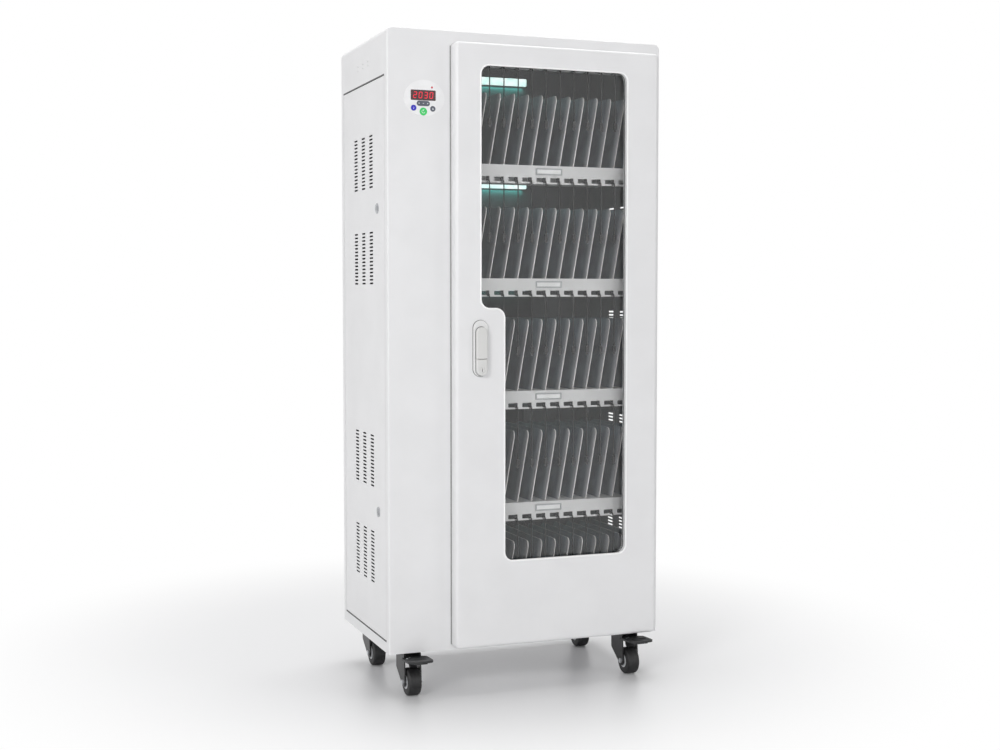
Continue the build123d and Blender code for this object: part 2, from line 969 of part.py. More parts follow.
def make_power_inlet():
    """Inlet socket below, rocker seat above, in one moulded frame with a thin flange."""
    inlet = slab(inlet_rectangle(0.0), back - inlet_depth, back)
    inlet += slab(inlet_rectangle(inlet_flange), back, back + inlet_flange_thick)
    socket = rectangle(
        inlet_x - socket_half_width, inlet_x + socket_half_width,
        inlet_z - socket_low, inlet_z - socket_high,
    )
    lower = socket.vertices().group_by(Axis.Y)[0]
    socket = chamfer(lower, socket_chamfer)
    inlet -= slab(socket, back - socket_depth, back + 3.0)
    for x, z in socket_pins:
        inlet += block(
            inlet_x + x - 1.0, inlet_x + x + 1.0, back - socket_depth - 2.0, back - 3.0,
            inlet_z + z - 2.0, inlet_z + z + 2.0,
        )
    half = switch_width / 2.0 + loose_fit
    reach = switch_radius + loose_fit
    seat = rod_along_x(inlet_x - half, inlet_x + half, switch_pivot_y(), switch_z, reach)
    mouth = block(
        inlet_x - half, inlet_x + half, switch_pivot_y(), back + 3.0,
        switch_z - reach, switch_z + reach,
    )
    return inlet - seat - mouth


def switch_pivot_y():
    return back - switch_setback


def make_power_switch():
    """A rocker: a round back that turns in its seat, with two faces that meet at a ridge."""
    x0 = inlet_x - switch_width / 2.0
    x1 = inlet_x + switch_width / 2.0
    rocker = rod_along_x(x0, x1, switch_pivot_y(), switch_z, switch_radius)
    half = math.radians(switch_angle / 2.0)
    reach = 2.0 * switch_radius
    rise = reach * math.tan(half)
    y = switch_pivot_y() + switch_ridge
    faces = Polyline(
        (y, switch_z), (y - rise, switch_z + reach), (y + reach, switch_z + reach),
        (y + reach, switch_z - reach), (y - rise, switch_z - reach), close=True,
    )
    rocker -= side_slab(make_face(faces), x0 - 1.0, x1 + 1.0)
    turned = Rot(-switch_angle / 2.0, 0, 0) * (Pos(0, -switch_pivot_y(), -switch_z) * rocker)
    return Pos(0, switch_pivot_y(), switch_z) * turned


# Fans on the back panel

fan_screw_pitch = 105.0
fan_screw_hole = 2.2
fan_plate_radius = 5.0
fan_web_thick = 3.0
fan_web_width = 4.0
fan_seat_grow = 4.0
fan_axle_radius = 2.5
fan_axle_setback = 6.0
fan_blade_count = 7
fan_blade_overlap = 4.0
fan_blade_thick = 1.6
fan_blade_chord = 26.0
fan_blade_pitch = 38.0


def fan_screws(height):
    half = fan_screw_pitch / 2.0
    return [
        (across(fan_x) + side_x * half, high(height) + side_z * half)
        for side_x in (-1.0, 1.0) for side_z in (-1.0, 1.0)
    ]


def fan_rear():
    return back - sheet


def make_fan_housing(height):
    half = fan_size / 2.0
    x = across(fan_x)
    z = high(height)
    rear = fan_rear()
    outline = rectangle(x - half, x + half, z - half, z + half, fan_plate_radius)
    housing = slab(outline - Pos(x, z) * Circle(fan_bore), rear - fan_depth, rear)
    for screw_x, screw_z in fan_screws(height):
        housing -= rod_along_y(screw_x, rear - fan_depth - 1.0, rear + 1.0, screw_z, fan_screw_hole)
    start = rear - fan_depth
    housing += rod_along_y(x, start, start + fan_web_thick, z, fan_hub + fan_seat_grow)
    for turn in range(4):
        arm = Pos(fan_bore / 2.0, 0) * Rectangle(fan_bore + 2.0, fan_web_width)
        arm = Pos(x, z) * Rot(0, 0, 45.0 + turn * 90.0) * arm
        housing += slab(arm, start, start + fan_web_thick)
    return housing + rod_along_y(x, start, rear - fan_axle_setback, z, fan_axle_radius)


def make_fan_rotor(height):
    """Hub and pitched blades; the hub turns on the housing's spindle."""
    x = across(fan_x)
    z = high(height)
    start = fan_rear() - fan_depth + fan_web_thick + 1.0
    end = fan_rear() - 3.0
    hub = rod_along_y(x, start, end, z, fan_hub)
    hub = fillet(hub.edges().group_by(Axis.Y)[-1], 2.0)
    blade_middle = (start + end) / 2.0
    root = fan_hub - fan_blade_overlap
    for turn in range(fan_blade_count):
        blade = Rot(fan_blade_pitch, 0, 0) * Box(fan_tip - root, fan_blade_thick, fan_blade_chord)
        blade = Pos((fan_tip + root) / 2.0, 0, 0) * blade
        blade = Rot(0, turn * 360.0 / fan_blade_count, 0) * blade
        hub += Pos(x, blade_middle, z) * blade
    keep = rod_along_y(x, start, end, z, fan_tip)
    hub = hub & keep
    bore_end = fan_rear() - fan_axle_setback + loose_fit
    return hub - rod_along_y(x, start - 1.0, bore_end, z, fan_axle_radius + running_fit)


def make_fan_guard(height):
    """Four flat rings on two crossed bars, with a lug at each screw."""
    place = Pos(across(fan_x), high(height))
    half = guard_wire / 2.0
    rings = [place * (Circle(radius + half) - Circle(radius - half)) for radius in guard_rings]
    guard = slab(Sketch() + rings, back + guard_wire, back + guard_reach)
    reach = fan_screw_pitch * math.sqrt(2.0)
    bars = [place * Rot(0, 0, turn) * Rectangle(reach, guard_wire) for turn in (45.0, 135.0)]
    lugs = [Pos(x, z) * Circle(guard_lug_radius) for x, z in fan_screws(height)]
    return guard + slab(Sketch() + bars + lugs, back, back + guard_wire)


# Front door

def window_outline(grow):
    """The window: a tall rectangle with a step cut from its lower left for the handle."""
    x0 = across(window_left) - grow
    x1 = across(window_right) + grow
    xn = across(window_notch_x) - grow
    z0 = high(window_bottom) - grow
    z1 = high(window_top) + grow
    zn = high(window_notch_z) - grow
    line = Polyline(
        (x0, z1), (x1, z1), (x1, z0), (xn, z0), (xn, zn), (x0, zn), close=True
    )
    face = make_face(line)
    inner_corner = face.vertices().sort_by_distance((xn, zn, 0))[0]
    others = [v for v in face.vertices() if v != inner_corner]
    face = fillet(others, window_radius + grow)
    inner_corner = face.vertices().sort_by_distance((xn, zn, 0))[0]
    return fillet(inner_corner, window_radius - grow)


def door_outline(inset):
    return rectangle(
        across(door_left) + inset, across(door_right) - inset,
        high(door_bottom) + inset, high(door_top) - inset, door_corner_radius - inset,
    )


def hinge_notch(height, side):
    """The gap in the door's back corner that a fixed hinge leaf passes through."""
    half = hinge_leaf_height / 2.0 + hinge_notch_margin
    return block(
        hinge_x - hinge_notch_side, across(door_right) + side,
        hinge_y - hinge_notch_depth, door_back + 1.0,
        high(height) - half, high(height) + half,
    )


def make_door_skin():
    skin = slab(door_outline(0.0), door_front, door_back)
    skin = fillet(skin.edges().group_by(Axis.Y)[0], door_edge_radius)
    hollow = slab(door_outline(sheet), door_front + sheet, door_back + 1.0)
    hollow = fillet(hollow.edges().group_by(Axis.Y)[0], door_edge_radius - sheet)
    skin -= hollow
    flange = window_outline(sheet) - window_outline(0.0)
    skin += slab(flange, door_front + window_flange_set, door_front + window_flange)
    skin -= slab(window_outline(0.0), door_front - 1.0, door_front + window_flange + 1.0)
    rim = skin.edges().filter_by_position(Axis.Y, door_front - 0.01, door_front + 0.01)
    x0 = across(window_left) - 2.0
    x1 = across(window_right) + 2.0
    rim = [e for e in rim if x0 < e.center().X < x1 and e.center().Z < high(window_top) + 2.0]
    rim = [e for e in rim if e.center().Z > high(window_bottom) - 2.0]
    skin = fillet(rim, window_edge_radius)
    for height in hinge_heights:
        skin -= hinge_notch(height, 1.0)
    skin -= rod_along_y(
        across(handle_x), door_front - 1.0, door_front + 2.0 * sheet, high(lever_pivot),
        spindle_radius + 2.0,
    )
    skin -= slab(lock_button_outline(1.0), door_front - 1.0, door_front + 2.0 * sheet)
    return skin


def make_door_liner():
    """The door's back plate, with a wall that holds the glass and guides for the rods."""
    plate = slab(door_outline(sheet + loose_fit), door_back - sheet, door_back)
    seat = window_outline(glass_margin - glass_seat)
    hole = window_outline(glass_margin - glass_seat - sheet)
    plate += slab(seat, glass_back() + loose_fit, door_back)
    plate -= slab(hole, glass_back() - 1.0, door_back + 1.0)
    for height in hinge_heights:
        plate -= hinge_notch(height, 1.0)
    plate -= rod_along_y(
        across(handle_x), door_back - 2.0 * sheet, door_back + 1.0, high(lever_pivot),
        spindle_radius + running_fit,
    )
    x = across(handle_x) - rod_offset
    half = rod_width / 2.0
    for height in guide_heights:
        low = high(height) - guide_height / 2.0
        guide = block(
            x - half - guide_side, x + half + guide_side, door_back, rod_back() + guide_front,
            low, low + guide_height,
        )
        guide -= block(
            x - half - loose_fit, x + half + loose_fit,
            rod_front() - loose_fit, rod_back() + loose_fit, low - 1.0, low + guide_height + 1.0,
        )
        plate += guide
    return plate


def rod_front():
    return door_back + latch_plane


def rod_back():
    return rod_front() + rod_thick


def glass_front():
    return door_front + window_flange + gasket_thick


def glass_back():
    return glass_front() + glass_thick


def make_glass():
    return slab(window_outline(glass_margin), glass_front(), glass_back())


def make_gasket():
    """A flat rubber ring between the window's flange and the glass."""
    ring = window_outline(glass_margin) - window_outline(-gasket_lap)
    return slab(ring, door_front + window_flange, glass_front())


def make_hinge_leaf(height):
    """The fixed leaf: a barrel on the hinge line, a web through the front plate, and a foot."""
    low = high(height) - hinge_leaf_height / 2.0
    high_end = low + hinge_leaf_height
    leaf = rod_along_z(hinge_x, hinge_y, low, high_end, hinge_barrel_radius)
    leaf += block(
        hinge_x - hinge_web_half, hinge_x + hinge_web_half, hinge_y, front + hinge_web_behind,
        low, high_end,
    )
    leaf += block(
        hinge_x - hinge_foot_side, right - hinge_foot_side - 0.5,
        front + sheet, front + sheet + hinge_foot_thick, low, high_end,
    )
    return leaf - rod_along_z(
        hinge_x, hinge_y, low - 1.0, high_end + 1.0, hinge_pin_radius + running_fit
    )


def make_hinge_knuckle(height):
    """The door's half of a hinge: two barrels, their pin, and the strap to the back plate."""
    middle = high(height)
    gap = hinge_leaf_height / 2.0 + loose_fit
    pin = rod_along_z(
        hinge_x, hinge_y, middle - gap - hinge_knuckle_height, middle + gap + hinge_knuckle_height,
        hinge_pin_radius,
    )
    for side in (-1.0, 1.0):
        start = middle + side * (gap + hinge_knuckle_height)
        end = middle + side * gap
        pin += rod_along_z(hinge_x, hinge_y, min(start, end), max(start, end), hinge_barrel_radius)
        pin += block(
            hinge_x - hinge_barrel_radius, hinge_x - hinge_web_half, hinge_y, door_back - sheet,
            min(start, end), max(start, end),
        )
        pin += block(
            hinge_x - hinge_strap_reach, hinge_x - hinge_web_half,
            door_back - sheet - hinge_strap_thick, door_back - sheet,
            min(start, end), max(start, end),
        )
    return pin


# Swing handle

def handle_face():
    return door_front - handle_plate_thick


def lever_footprint(grow):
    """The lever and its lock button seen together from the front."""
    return stadium(
        across(handle_x), high(lever_low) - grow, high(lever_top) + grow,
        lever_width + 2.0 * grow,
    )


def parting_disc(grow):
    """Everything within the parting, an arc about the pivot, so that the lever turns clear of the button."""
    return Pos(across(handle_x), high(lever_pivot)) * Circle(lever_pivot - parting_height + grow)


def make_handle_plate():
    """The oval seat of the swing handle, with a groove round the lever's footprint."""
    plate = slab(
        stadium(across(handle_x), high(handle_low), high(handle_high), handle_width),
        handle_face(), door_front,
    )
    plate = fillet(plate.edges().group_by(Axis.Y)[0], plate_edge_radius)
    groove = lever_footprint(groove_width) - lever_footprint(0.0)
    plate -= slab(groove, handle_face() - 1.0, handle_face() + groove_depth)
    plate -= rod_along_y(
        across(handle_x), handle_face() - 1.0, door_front + 1.0, high(lever_pivot),
        spindle_radius + running_fit,
    )
    plate -= slab(lock_button_outline(loose_fit), handle_face() - 1.0, door_front + 1.0)
    return plate


def lock_button_outline(grow):
    """The push button: the part of the footprint below the parting."""
    outline = lever_footprint(0.0) - parting_disc(parting_gap / 2.0)
    return outline if grow == 0.0 else offset(outline, grow)


def make_handle_lever():
    """The lever lies over the seat; its thinned top end lets it lift about the cross pin."""
    face = handle_face() - loose_fit
    lever = slab(lever_footprint(0.0) & parting_disc(-parting_gap / 2.0), face - lever_thick, face)
    lever = fillet(lever.edges().group_by(Axis.Y)[0], lever_edge_radius)
    pivot = high(lever_pivot)
    rise = high(lever_top) - pivot + 1.0
    slope = math.tan(math.radians(lever_lift + 1.0))
    relief = Polyline(
        (face + 1.0, pivot + 0.2), (face, pivot + 0.2), (face - rise * slope, pivot + rise),
        (face + 1.0, pivot + rise), close=True,
    )
    reach = lever_width
    lever -= side_slab(make_face(relief), across(handle_x) - reach, across(handle_x) + reach)
    half = knob_half + loose_fit
    lever -= block(
        across(handle_x) - half, across(handle_x) + half, face - lever_thick + 2.0, face + 1.0,
        pivot - 7.0, pivot + 7.0,
    )
    return lever - rod_along_x(
        across(handle_x) - pin_half - loose_fit, across(handle_x) + pin_half + loose_fit,
        cross_pin_y(), pivot, cross_pin_radius + running_fit,
    )


def cross_pin_y():
    return handle_face() - cross_pin_rise


def make_handle_spindle():
    """The turning spindle: a knob that carries the lever's cross pin, and the shaft."""
    x = across(handle_x)
    z = high(lever_pivot)
    shaft = rod_along_y(x, handle_face(), rod_front(), z, spindle_radius)
    knob = block(
        x - knob_half, x + knob_half, handle_face() - knob_proud, handle_face() + 0.5,
        z - 4.2, z + 4.2,
    )
    knob = fillet(knob.edges().filter_by(Axis.X).group_by(Axis.Y)[0], knob_edge_radius)
    return shaft + knob + rod_along_x(x - pin_half, x + pin_half, cross_pin_y(), z, cross_pin_radius)


def make_latch_cam():
    """The latch tongue on the spindle's back end; it turns behind the body's front plate."""
    x = across(handle_x)
    z = high(lever_pivot)
    tongue = slab(stadium(x, z - cam_tail, z + cam_length, cam_width), rod_front(), rod_back())
    disc = rod_along_y(x, rod_front(), rod_back(), z, cam_radius)
    screw = rod_along_y(x, rod_back(), rod_back() + cam_screw_proud, z, cam_screw_radius)
    return tongue + disc + screw


def make_lock_button():
    """The push button in the lower end of the seat, with a keyhole."""
    face = handle_face() - loose_fit - lever_thick + button_drop
    button = slab(lock_button_outline(0.0), face, handle_face() + button_depth)
    button = fillet(button.edges().group_by(Axis.Y)[0], plate_edge_radius)
    x = across(handle_x)
    z = high(lever_low) + lever_width / 2.0
    ring = Circle(keyhole_ring) - Circle(keyhole_ring - keyhole_ring_width)
    button -= slab(Pos(x, z) * ring, face - 1.0, face + keyhole_ring_width)
    return button - block(
        x - keyhole_width / 2.0, x + keyhole_width / 2.0, face - 1.0, face + 5.0,
        z - keyhole_half, z + keyhole_half,
    )


def make_rod(low, high_end):
    """One flat latch rod behind the door, beside the window."""
    x = across(handle_x) - rod_offset
    half = rod_width / 2.0
    return block(x - half, x + half, rod_front(), rod_back(), low, high_end)


def make_upper_rod():
    return make_rod(high(lever_pivot) + rod_end_gap, high(opening_top) - rod_tip_gap)


def make_lower_rod():
    return make_rod(high(opening_bottom) + rod_tip_gap, high(lever_pivot) - rod_end_gap)


# Service door

def make_service_door():
    y0 = deep(service_front) + service_gap
    y1 = deep(service_back) - service_hinge_gap
    z0 = high(service_bottom) + service_gap
    z1 = high(service_top) - service_gap
    face = rectangle(y0, y1, z0, z1, 2.0)
    holes = []
    for height in left_vent_heights:
        holes += vent_group(vent_columns, height)
    for height in cam_lock_heights:
        holes.append(Pos(deep(cam_lock_y), high(height)) * Circle(cam_lock_radius))
    door = side_slab(face - holes, left, left + sheet)
    ring = face - rectangle(y0 + sheet, y1 - sheet, z0 + sheet, z1 - sheet, 0.8)
    door += side_slab(ring, left, left + service_depth)
    pin_x = left + service_pin_depth
    pin_y = y1 - service_pin_inset
    for z in (z0 + sheet / 2.0, z1 - sheet / 2.0):
        boss = rod_along_z(pin_x, pin_y, z - boss_half, z + boss_half, service_pin_depth)
        limit = block(left, left + service_depth, y0, y1, z0, z1)
        door += boss & limit
        bore = hinge_pin_radius + running_fit
        door -= rod_along_z(pin_x, pin_y, z - boss_half - 2.0, z + boss_half + 2.0, bore)
    return door


def make_service_pins():
    """Two headed pins, one through the frame above the door and one below it."""
    pin_x = left + service_pin_depth
    pin_y = deep(service_back) - service_hinge_gap - service_pin_inset
    upper = high(service_top)
    lower = high(service_bottom)
    reach = service_gap + boss_half + 0.5
    foot = (left + sheet, left + sheet + pin_foot, pin_y - pin_foot_half, pin_y + pin_foot_half)
    upper_pin = rod_along_z(pin_x, pin_y, upper - reach, upper + sheet, hinge_pin_radius)
    upper_pin += block(*foot, upper + sheet, upper + pin_foot_height)
    lower_pin = rod_along_z(pin_x, pin_y, lower - sheet, lower + reach, hinge_pin_radius)
    lower_pin += block(*foot, lower - pin_foot_height, lower - sheet)
    return [upper_pin, lower_pin]


def barrel_end():
    return left + service_depth + 4.0


def make_lock_barrel(height):
    """A cam lock's fixed barrel with a flange outside and a nut inside the door skin."""
    y = deep(cam_lock_y)
    z = high(height)
    end = barrel_end()
    flange = left - cam_lock_flange_thick
    barrel = rod_along_x(left, end, y, z, cam_lock_radius)
    barrel += rod_along_x(flange, left, y, z, cam_lock_radius + cam_lock_flange)
    barrel += rod_along_x(left + sheet, left + 3.0 * sheet, y, z, cam_lock_radius + cam_lock_nut)
    bore = cam_lock_radius - cam_lock_wall + running_fit
    return barrel - rod_along_x(flange - 1.0, end + 1.0, y, z, bore)


def make_lock_plug(height):
    """The turning plug with its keyway and the cam on its inner end."""
    y = deep(cam_lock_y)
    z = high(height)
    face = left - cam_lock_flange_thick - cam_lock_proud
    cam_start = barrel_end() + loose_fit + 3.0
    plug = rod_along_x(face, cam_start, y, z, cam_lock_radius - cam_lock_wall)
    plug -= block(face - 1.0, left + 4.0, y - 0.8, y + 0.8, z - 3.8, z + 3.8)
    cam = rectangle(
        y - cam_half_width, y + cam_half_width, z - cam_half_width, z + cam_reach, 4.0
    )
    return plug + side_slab(cam, cam_start, cam_start + cam_thick)


# Casters

def caster_places():
    """The four swivel axes, as X and Y: front left, front right, back left, back right."""
    xs = (left + caster_inset_x, right - caster_inset_x)
    ys = (front + caster_inset_y, back - caster_inset_y)
    return [(x, y) for y in ys for x in xs]


def plate_bolts(x, y):
    half = plate_bolt_pitch / 2.0
    return [(x + sx * half, y + sy * half) for sx in (-1.0, 1.0) for sy in (-1.0, 1.0)]


def crown_height():
    """The top of every fork, just under the race and clear of the bolt heads."""
    return bottom - plate_thick - race_thick - loose_fit


def make_caster_plate(x, y):
    """The bolted top plate, the swivel race under it, and the kingpin."""
    plate = Pos(x, y, bottom - plate_thick / 2.0) * Box(plate_size, plate_size, plate_thick)
    plate = fillet(plate.edges().filter_by(Axis.Z), plate_corner_radius)
    for bolt_x, bolt_y in plate_bolts(x, y):
        plate -= rod_along_z(bolt_x, bolt_y, bottom - 10.0, bottom + 1.0, bolt_radius)
    low = bottom - plate_thick - race_thick
    race = rod_along_z(x, y, low, bottom - plate_thick, race_radius)
    return plate + race + rod_along_z(x, y, low - kingpin_reach, low, kingpin_radius)


def make_caster_bolt(x, y):
    """A hexagon bolt up through the plate and the base, with its nut inside the body."""
    low = bottom - plate_thick
    hexagon = RegularPolygon(bolt_head_radius, 6)
    bolt = rod_along_z(x, y, low, bottom + bolt_reach, bolt_radius)
    head = Pos(x, y, low - bolt_head_height) * extrude(hexagon, bolt_head_height)
    nut = Pos(x, y, bottom + base_sheet) * extrude(hexagon, nut_height)
    return bolt + head + nut


def wheel_centre(y):
    return y - caster_trail, wheel_radius


def fork_leg(x0, x1, y):
    """One side plate of a fork: deep at the crown, rounded about the axle."""
    axle_y, axle_z = wheel_centre(y)
    crown = crown_height()
    back_y = y + fork_half_length
    back_z = bottom - fork_back_depth
    away = Vector(back_y - axle_y, back_z - axle_z)
    turn = math.acos(axle_eye_radius / away.length)
    angle = math.atan2(away.Y, away.X) - turn
    line = Polyline(
        (y - fork_half_length, crown), (back_y, crown), (back_y, back_z),
        (axle_y + axle_eye_radius * math.cos(angle), axle_z + axle_eye_radius * math.sin(angle)),
        (axle_y, axle_z), (axle_y - axle_eye_radius, axle_z), close=True,
    )
    face = make_face(line)
    face = fillet(face.vertices().sort_by_distance((back_y, back_z, 0))[0], fork_corner_radius)
    face += Pos(axle_y, axle_z) * Circle(axle_eye_radius)
    return side_slab(face, x0, x1)


def make_fork(x, y):
    """Fork with its crown, and the wheel's axle bolt as a solid of its own."""
    inner = wheel_width / 2.0 + fork_gap
    outer = inner + fork_wall
    crown = crown_height()
    fork = fork_leg(x - outer, x - inner, y) + fork_leg(x + inner, x + outer, y)
    fork += block(
        x - outer, x + outer, y - crown_front, y + fork_half_length, crown - fork_wall, crown
    )
    fork += block(
        x - outer, x + outer, y + fork_half_length - fork_wall, y + fork_half_length,
        crown - crown_apron, crown,
    )
    fork -= rod_along_z(x, y, crown - 10.0, crown + 1.0, kingpin_radius + running_fit)
    pivot_y, pivot_z = pedal_pivot(y)
    pin_bore = pedal_pin_radius + running_fit
    fork -= rod_along_x(x - outer - 1.0, x + outer + 1.0, pivot_y, pivot_z, pin_bore)
    axle_y, axle_z = wheel_centre(y)
    fork -= rod_along_x(x - outer - 1.0, x + outer + 1.0, axle_y, axle_z, axle_radius)
    reach = outer + axle_end
    axle = rod_along_x(x - reach, x + reach, axle_y, axle_z, axle_radius)
    hexagon = Pos(axle_y, axle_z) * RegularPolygon(axle_nut_radius, 6)
    for start in (x - outer - axle_nut_thick, x + outer):
        axle += side_slab(hexagon, start, start + axle_nut_thick)
    return [fork, axle]


def make_wheel(x, y):
    """Tyre and hub; the hub's boss stands proud at both ends and runs on the axle."""
    axle_y, axle_z = wheel_centre(y)
    half = wheel_width / 2.0
    tyre = rod_along_x(x - half, x + half, axle_y, axle_z, wheel_radius)
    tyre = fillet(tyre.edges().filter_by(GeomType.CIRCLE), tyre_edge_radius)
    tyre -= rod_along_x(x - half - 1.0, x + half + 1.0, axle_y, axle_z, hub_radius)
    face = half + hub_proud
    hub = rod_along_x(x - face, x + face, axle_y, axle_z, hub_radius)
    for start in (x - face - 1.0, x + face - hub_recess):
        end = start + hub_recess + 1.0
        hub -= rod_along_x(start, end, axle_y, axle_z, hub_radius - hub_rim)
    reach = half + fork_gap - loose_fit
    hub += rod_along_x(x - reach, x + reach, axle_y, axle_z, hub_boss_radius)
    bore = axle_radius + running_fit
    hub -= rod_along_x(x - reach - 1.0, x + reach + 1.0, axle_y, axle_z, bore)
    return [tyre, hub]


def pedal_pivot(y):
    """Where a brake pedal turns in the fork, as Y and Z."""
    return y - pedal_pivot_ahead, bottom - pedal_pivot_drop


def make_pedal(x, y):
    """The foot pedal: tread ahead of the fork, neck between its legs, and a brake shoe."""
    pivot_y, pivot_z = pedal_pivot(y)
    inner = wheel_width / 2.0 + fork_gap - loose_fit
    nose = y - pedal_reach
    root = pivot_y - pedal_root_ahead
    shoulder = y - pedal_shoulder
    neck = shoulder + pedal_taper
    half = pedal_width / 2.0
    outline = make_face(Polyline(
        (x - inner, root), (x - inner, neck), (x - half, shoulder), (x - half, nose),
        (x + half, nose), (x + half, shoulder), (x + inner, neck), (x + inner, root), close=True,
    ))
    outline = fillet(outline.vertices().group_by(Axis.Y)[0], pedal_nose_radius)
    tread = extrude(outline, pedal_thick)
    tread = fillet(tread.edges().group_by(Axis.Z)[-1], pedal_edge_radius)
    dip_floor = Pos(x, nose + 24.0, pedal_thick - pedal_dip_depth)
    dip = extrude(dip_floor * SlotOverall(pedal_dip_length, pedal_dip_width), 2.0)
    rim = extrude(Pos(x, nose + 9.0) * RectangleRounded(30.0, 12.0, 4.0), -pedal_rim_depth)
    tread = tread - dip + rim
    tread = Rot(-pedal_slope, 0, 0) * (Pos(0, -root, 0) * tread)
    tread = Pos(0, root, pivot_z + pedal_rise) * tread
    carrier = block(x - inner, x + inner, pivot_y - 10.0, pivot_y + 3.2, pivot_z - 3.2, pivot_z + 4.4)
    shoe = make_face(Polyline(
        (pivot_y + 3.2, pivot_z - 3.0), (pivot_y - 10.0, pivot_z - 3.0),
        (pivot_y - 17.5, pivot_z - 17.0), (pivot_y - 14.5, pivot_z - 20.0),
        (pivot_y - 10.5, pivot_z - 19.0), close=True,
    ))
    outer = wheel_width / 2.0 + fork_gap + fork_wall
    reach = outer + pedal_pin_end
    pin = rod_along_x(x - reach, x + reach, pivot_y, pivot_z, pedal_pin_radius)
    return tread + carrier + side_slab(shoe, x - shoe_half_width, x + shoe_half_width) + pin


def main():
    os.makedirs("parts", exist_ok=True)
    bays = range(1, bay_count + 1)
    casters = dict(zip(
        ("front_left", "front_right", "back_left", "back_right"), caster_places()
    ))
    save("cabinet_shell", make_shell())
    save("front_frame", make_front_frame())
    save("back_panel", make_back_panel())
    save("base_pan", make_base_pan())
    save("partition_wall", make_partition())
    for bay in bays:
        save("shelf_" + str(bay), make_shelf(bay))
    save("top_comb", make_top_comb())
    save("slot_dividers", *make_dividers())
    save("label_holders", *make_label_holders())
    save("cable_grommets", *each_lead(make_grommet))
    save("charging_cords", *each_lead(make_cord))
    save("charging_plugs", *each_lead(make_plug))
    save("light_housings", *[make_light_housing(bay) for bay in bays])
    save("light_diffusers", *[make_light_diffuser(bay) for bay in bays])
    save("charger_modules", *[make_charger(bay) for bay in bays])
    save("control_box", make_control_box())
    save("panel_bezel", make_panel_bezel())
    save("display_window", make_display())
    save("light_key", make_key(0))
    save("lock_key", make_key(1))
    save("power_key", make_key(2))
    save("rocker_key", make_rocker_key())
    save("power_inlet", make_power_inlet())
    save("power_switch", make_power_switch())
    save("fan_housings", *[make_fan_housing(height) for height in fan_heights])
    save("fan_rotor_upper", make_fan_rotor(fan_heights[0]))
    save("fan_rotor_lower", make_fan_rotor(fan_heights[1]))
    save("fan_guards", *[make_fan_guard(height) for height in fan_heights])
    save("door_skin", make_door_skin())
    save("door_liner", make_door_liner())
    save("door_glass", make_glass())
    save("glass_gasket", make_gasket())
    save("door_hinge_leaves", *[make_hinge_leaf(height) for height in hinge_heights])
    save("door_hinge_pins", *[make_hinge_knuckle(height) for height in hinge_heights])
    save("handle_plate", make_handle_plate())
    save("handle_spindle", make_handle_spindle(), make_latch_cam())
    save("handle_lever", make_handle_lever())
    save("lock_button", make_lock_button())
    save("latch_rod_upper", make_upper_rod())
    save("latch_rod_lower", make_lower_rod())
    save("service_door", make_service_door())
    save("service_hinge_pins", *make_service_pins())
    save("service_lock_barrels", *[make_lock_barrel(height) for height in cam_lock_heights])
    save("service_lock_upper", make_lock_plug(cam_lock_heights[0]))
    save("service_lock_lower", make_lock_plug(cam_lock_heights[1]))
    plates = [make_caster_plate(x, y) for x, y in casters.values()]
    bolts = [
        make_caster_bolt(*place) for x, y in casters.values() for place in plate_bolts(x, y)
    ]
    save("caster_plates", *plates, *bolts)
    for corner, (x, y) in casters.items():
        save("caster_fork_" + corner, *make_fork(x, y))
        save("caster_wheel_" + corner, *make_wheel(x, y))
        if corner.startswith("front"):
            save("brake_pedal_" + corner[6:], make_pedal(x, y))
    radii = corner_radii(cord_points(1, 0))
    print("cord bend radii", [round(radius, 1) for radius in radii])


main()
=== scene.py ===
import bpy
import math
from mathutils import Matrix, Vector


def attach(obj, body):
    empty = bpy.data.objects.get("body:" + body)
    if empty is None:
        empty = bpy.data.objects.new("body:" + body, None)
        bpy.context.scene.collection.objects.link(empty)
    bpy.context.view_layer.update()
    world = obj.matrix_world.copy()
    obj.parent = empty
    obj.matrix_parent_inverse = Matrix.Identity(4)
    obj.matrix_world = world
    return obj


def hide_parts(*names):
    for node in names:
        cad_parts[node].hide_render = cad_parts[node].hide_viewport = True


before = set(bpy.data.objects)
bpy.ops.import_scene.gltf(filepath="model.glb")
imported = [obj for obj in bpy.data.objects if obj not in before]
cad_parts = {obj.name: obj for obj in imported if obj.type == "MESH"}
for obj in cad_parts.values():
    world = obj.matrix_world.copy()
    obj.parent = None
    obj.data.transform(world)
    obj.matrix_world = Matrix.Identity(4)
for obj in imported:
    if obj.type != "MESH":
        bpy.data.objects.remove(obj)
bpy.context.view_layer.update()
mm = 0.001

# Millimetres: the cabinet's left side, front face and underside, from which every place is counted
cabinet = {
    "left": -335.0, "front": -171.0, "bottom": 103.0,
    "width": 670.0, "depth": 392.0, "height": 1400.0, "cornerRadius": 14.0, "skin": 1.5, "edgeRadius": 4.0,
}


def at(x, y, z):
    # a place counted from the cabinet's left side, front face and underside
    return Vector((cabinet["left"] + x, cabinet["front"] + y, cabinet["bottom"] + z)) * mm


# Camera, matched to the photograph

viewpoint = {
    "place": (-1.2467, -3.2794, 0.9135),   # metres
    "lens": 52.28, "sensor": 36.0,
    "turn": -20.768,   # degrees away from straight ahead
    "tip": -3.172,     # degrees below level
}


def newObject(name, data):
    item = bpy.data.objects.new(name, data)
    bpy.context.scene.collection.objects.link(item)
    return item


def makeCamera():
    data = bpy.data.cameras.new("camera")
    data.lens = viewpoint["lens"]
    data.sensor_width = viewpoint["sensor"]
    camera = newObject("camera", data)
    camera.location = viewpoint["place"]
    tip = math.radians(90.0 + viewpoint["tip"])
    camera.rotation_euler = (tip, 0.0, math.radians(viewpoint["turn"]))
    bpy.context.scene.camera = camera


makeCamera()
print("camera placed")


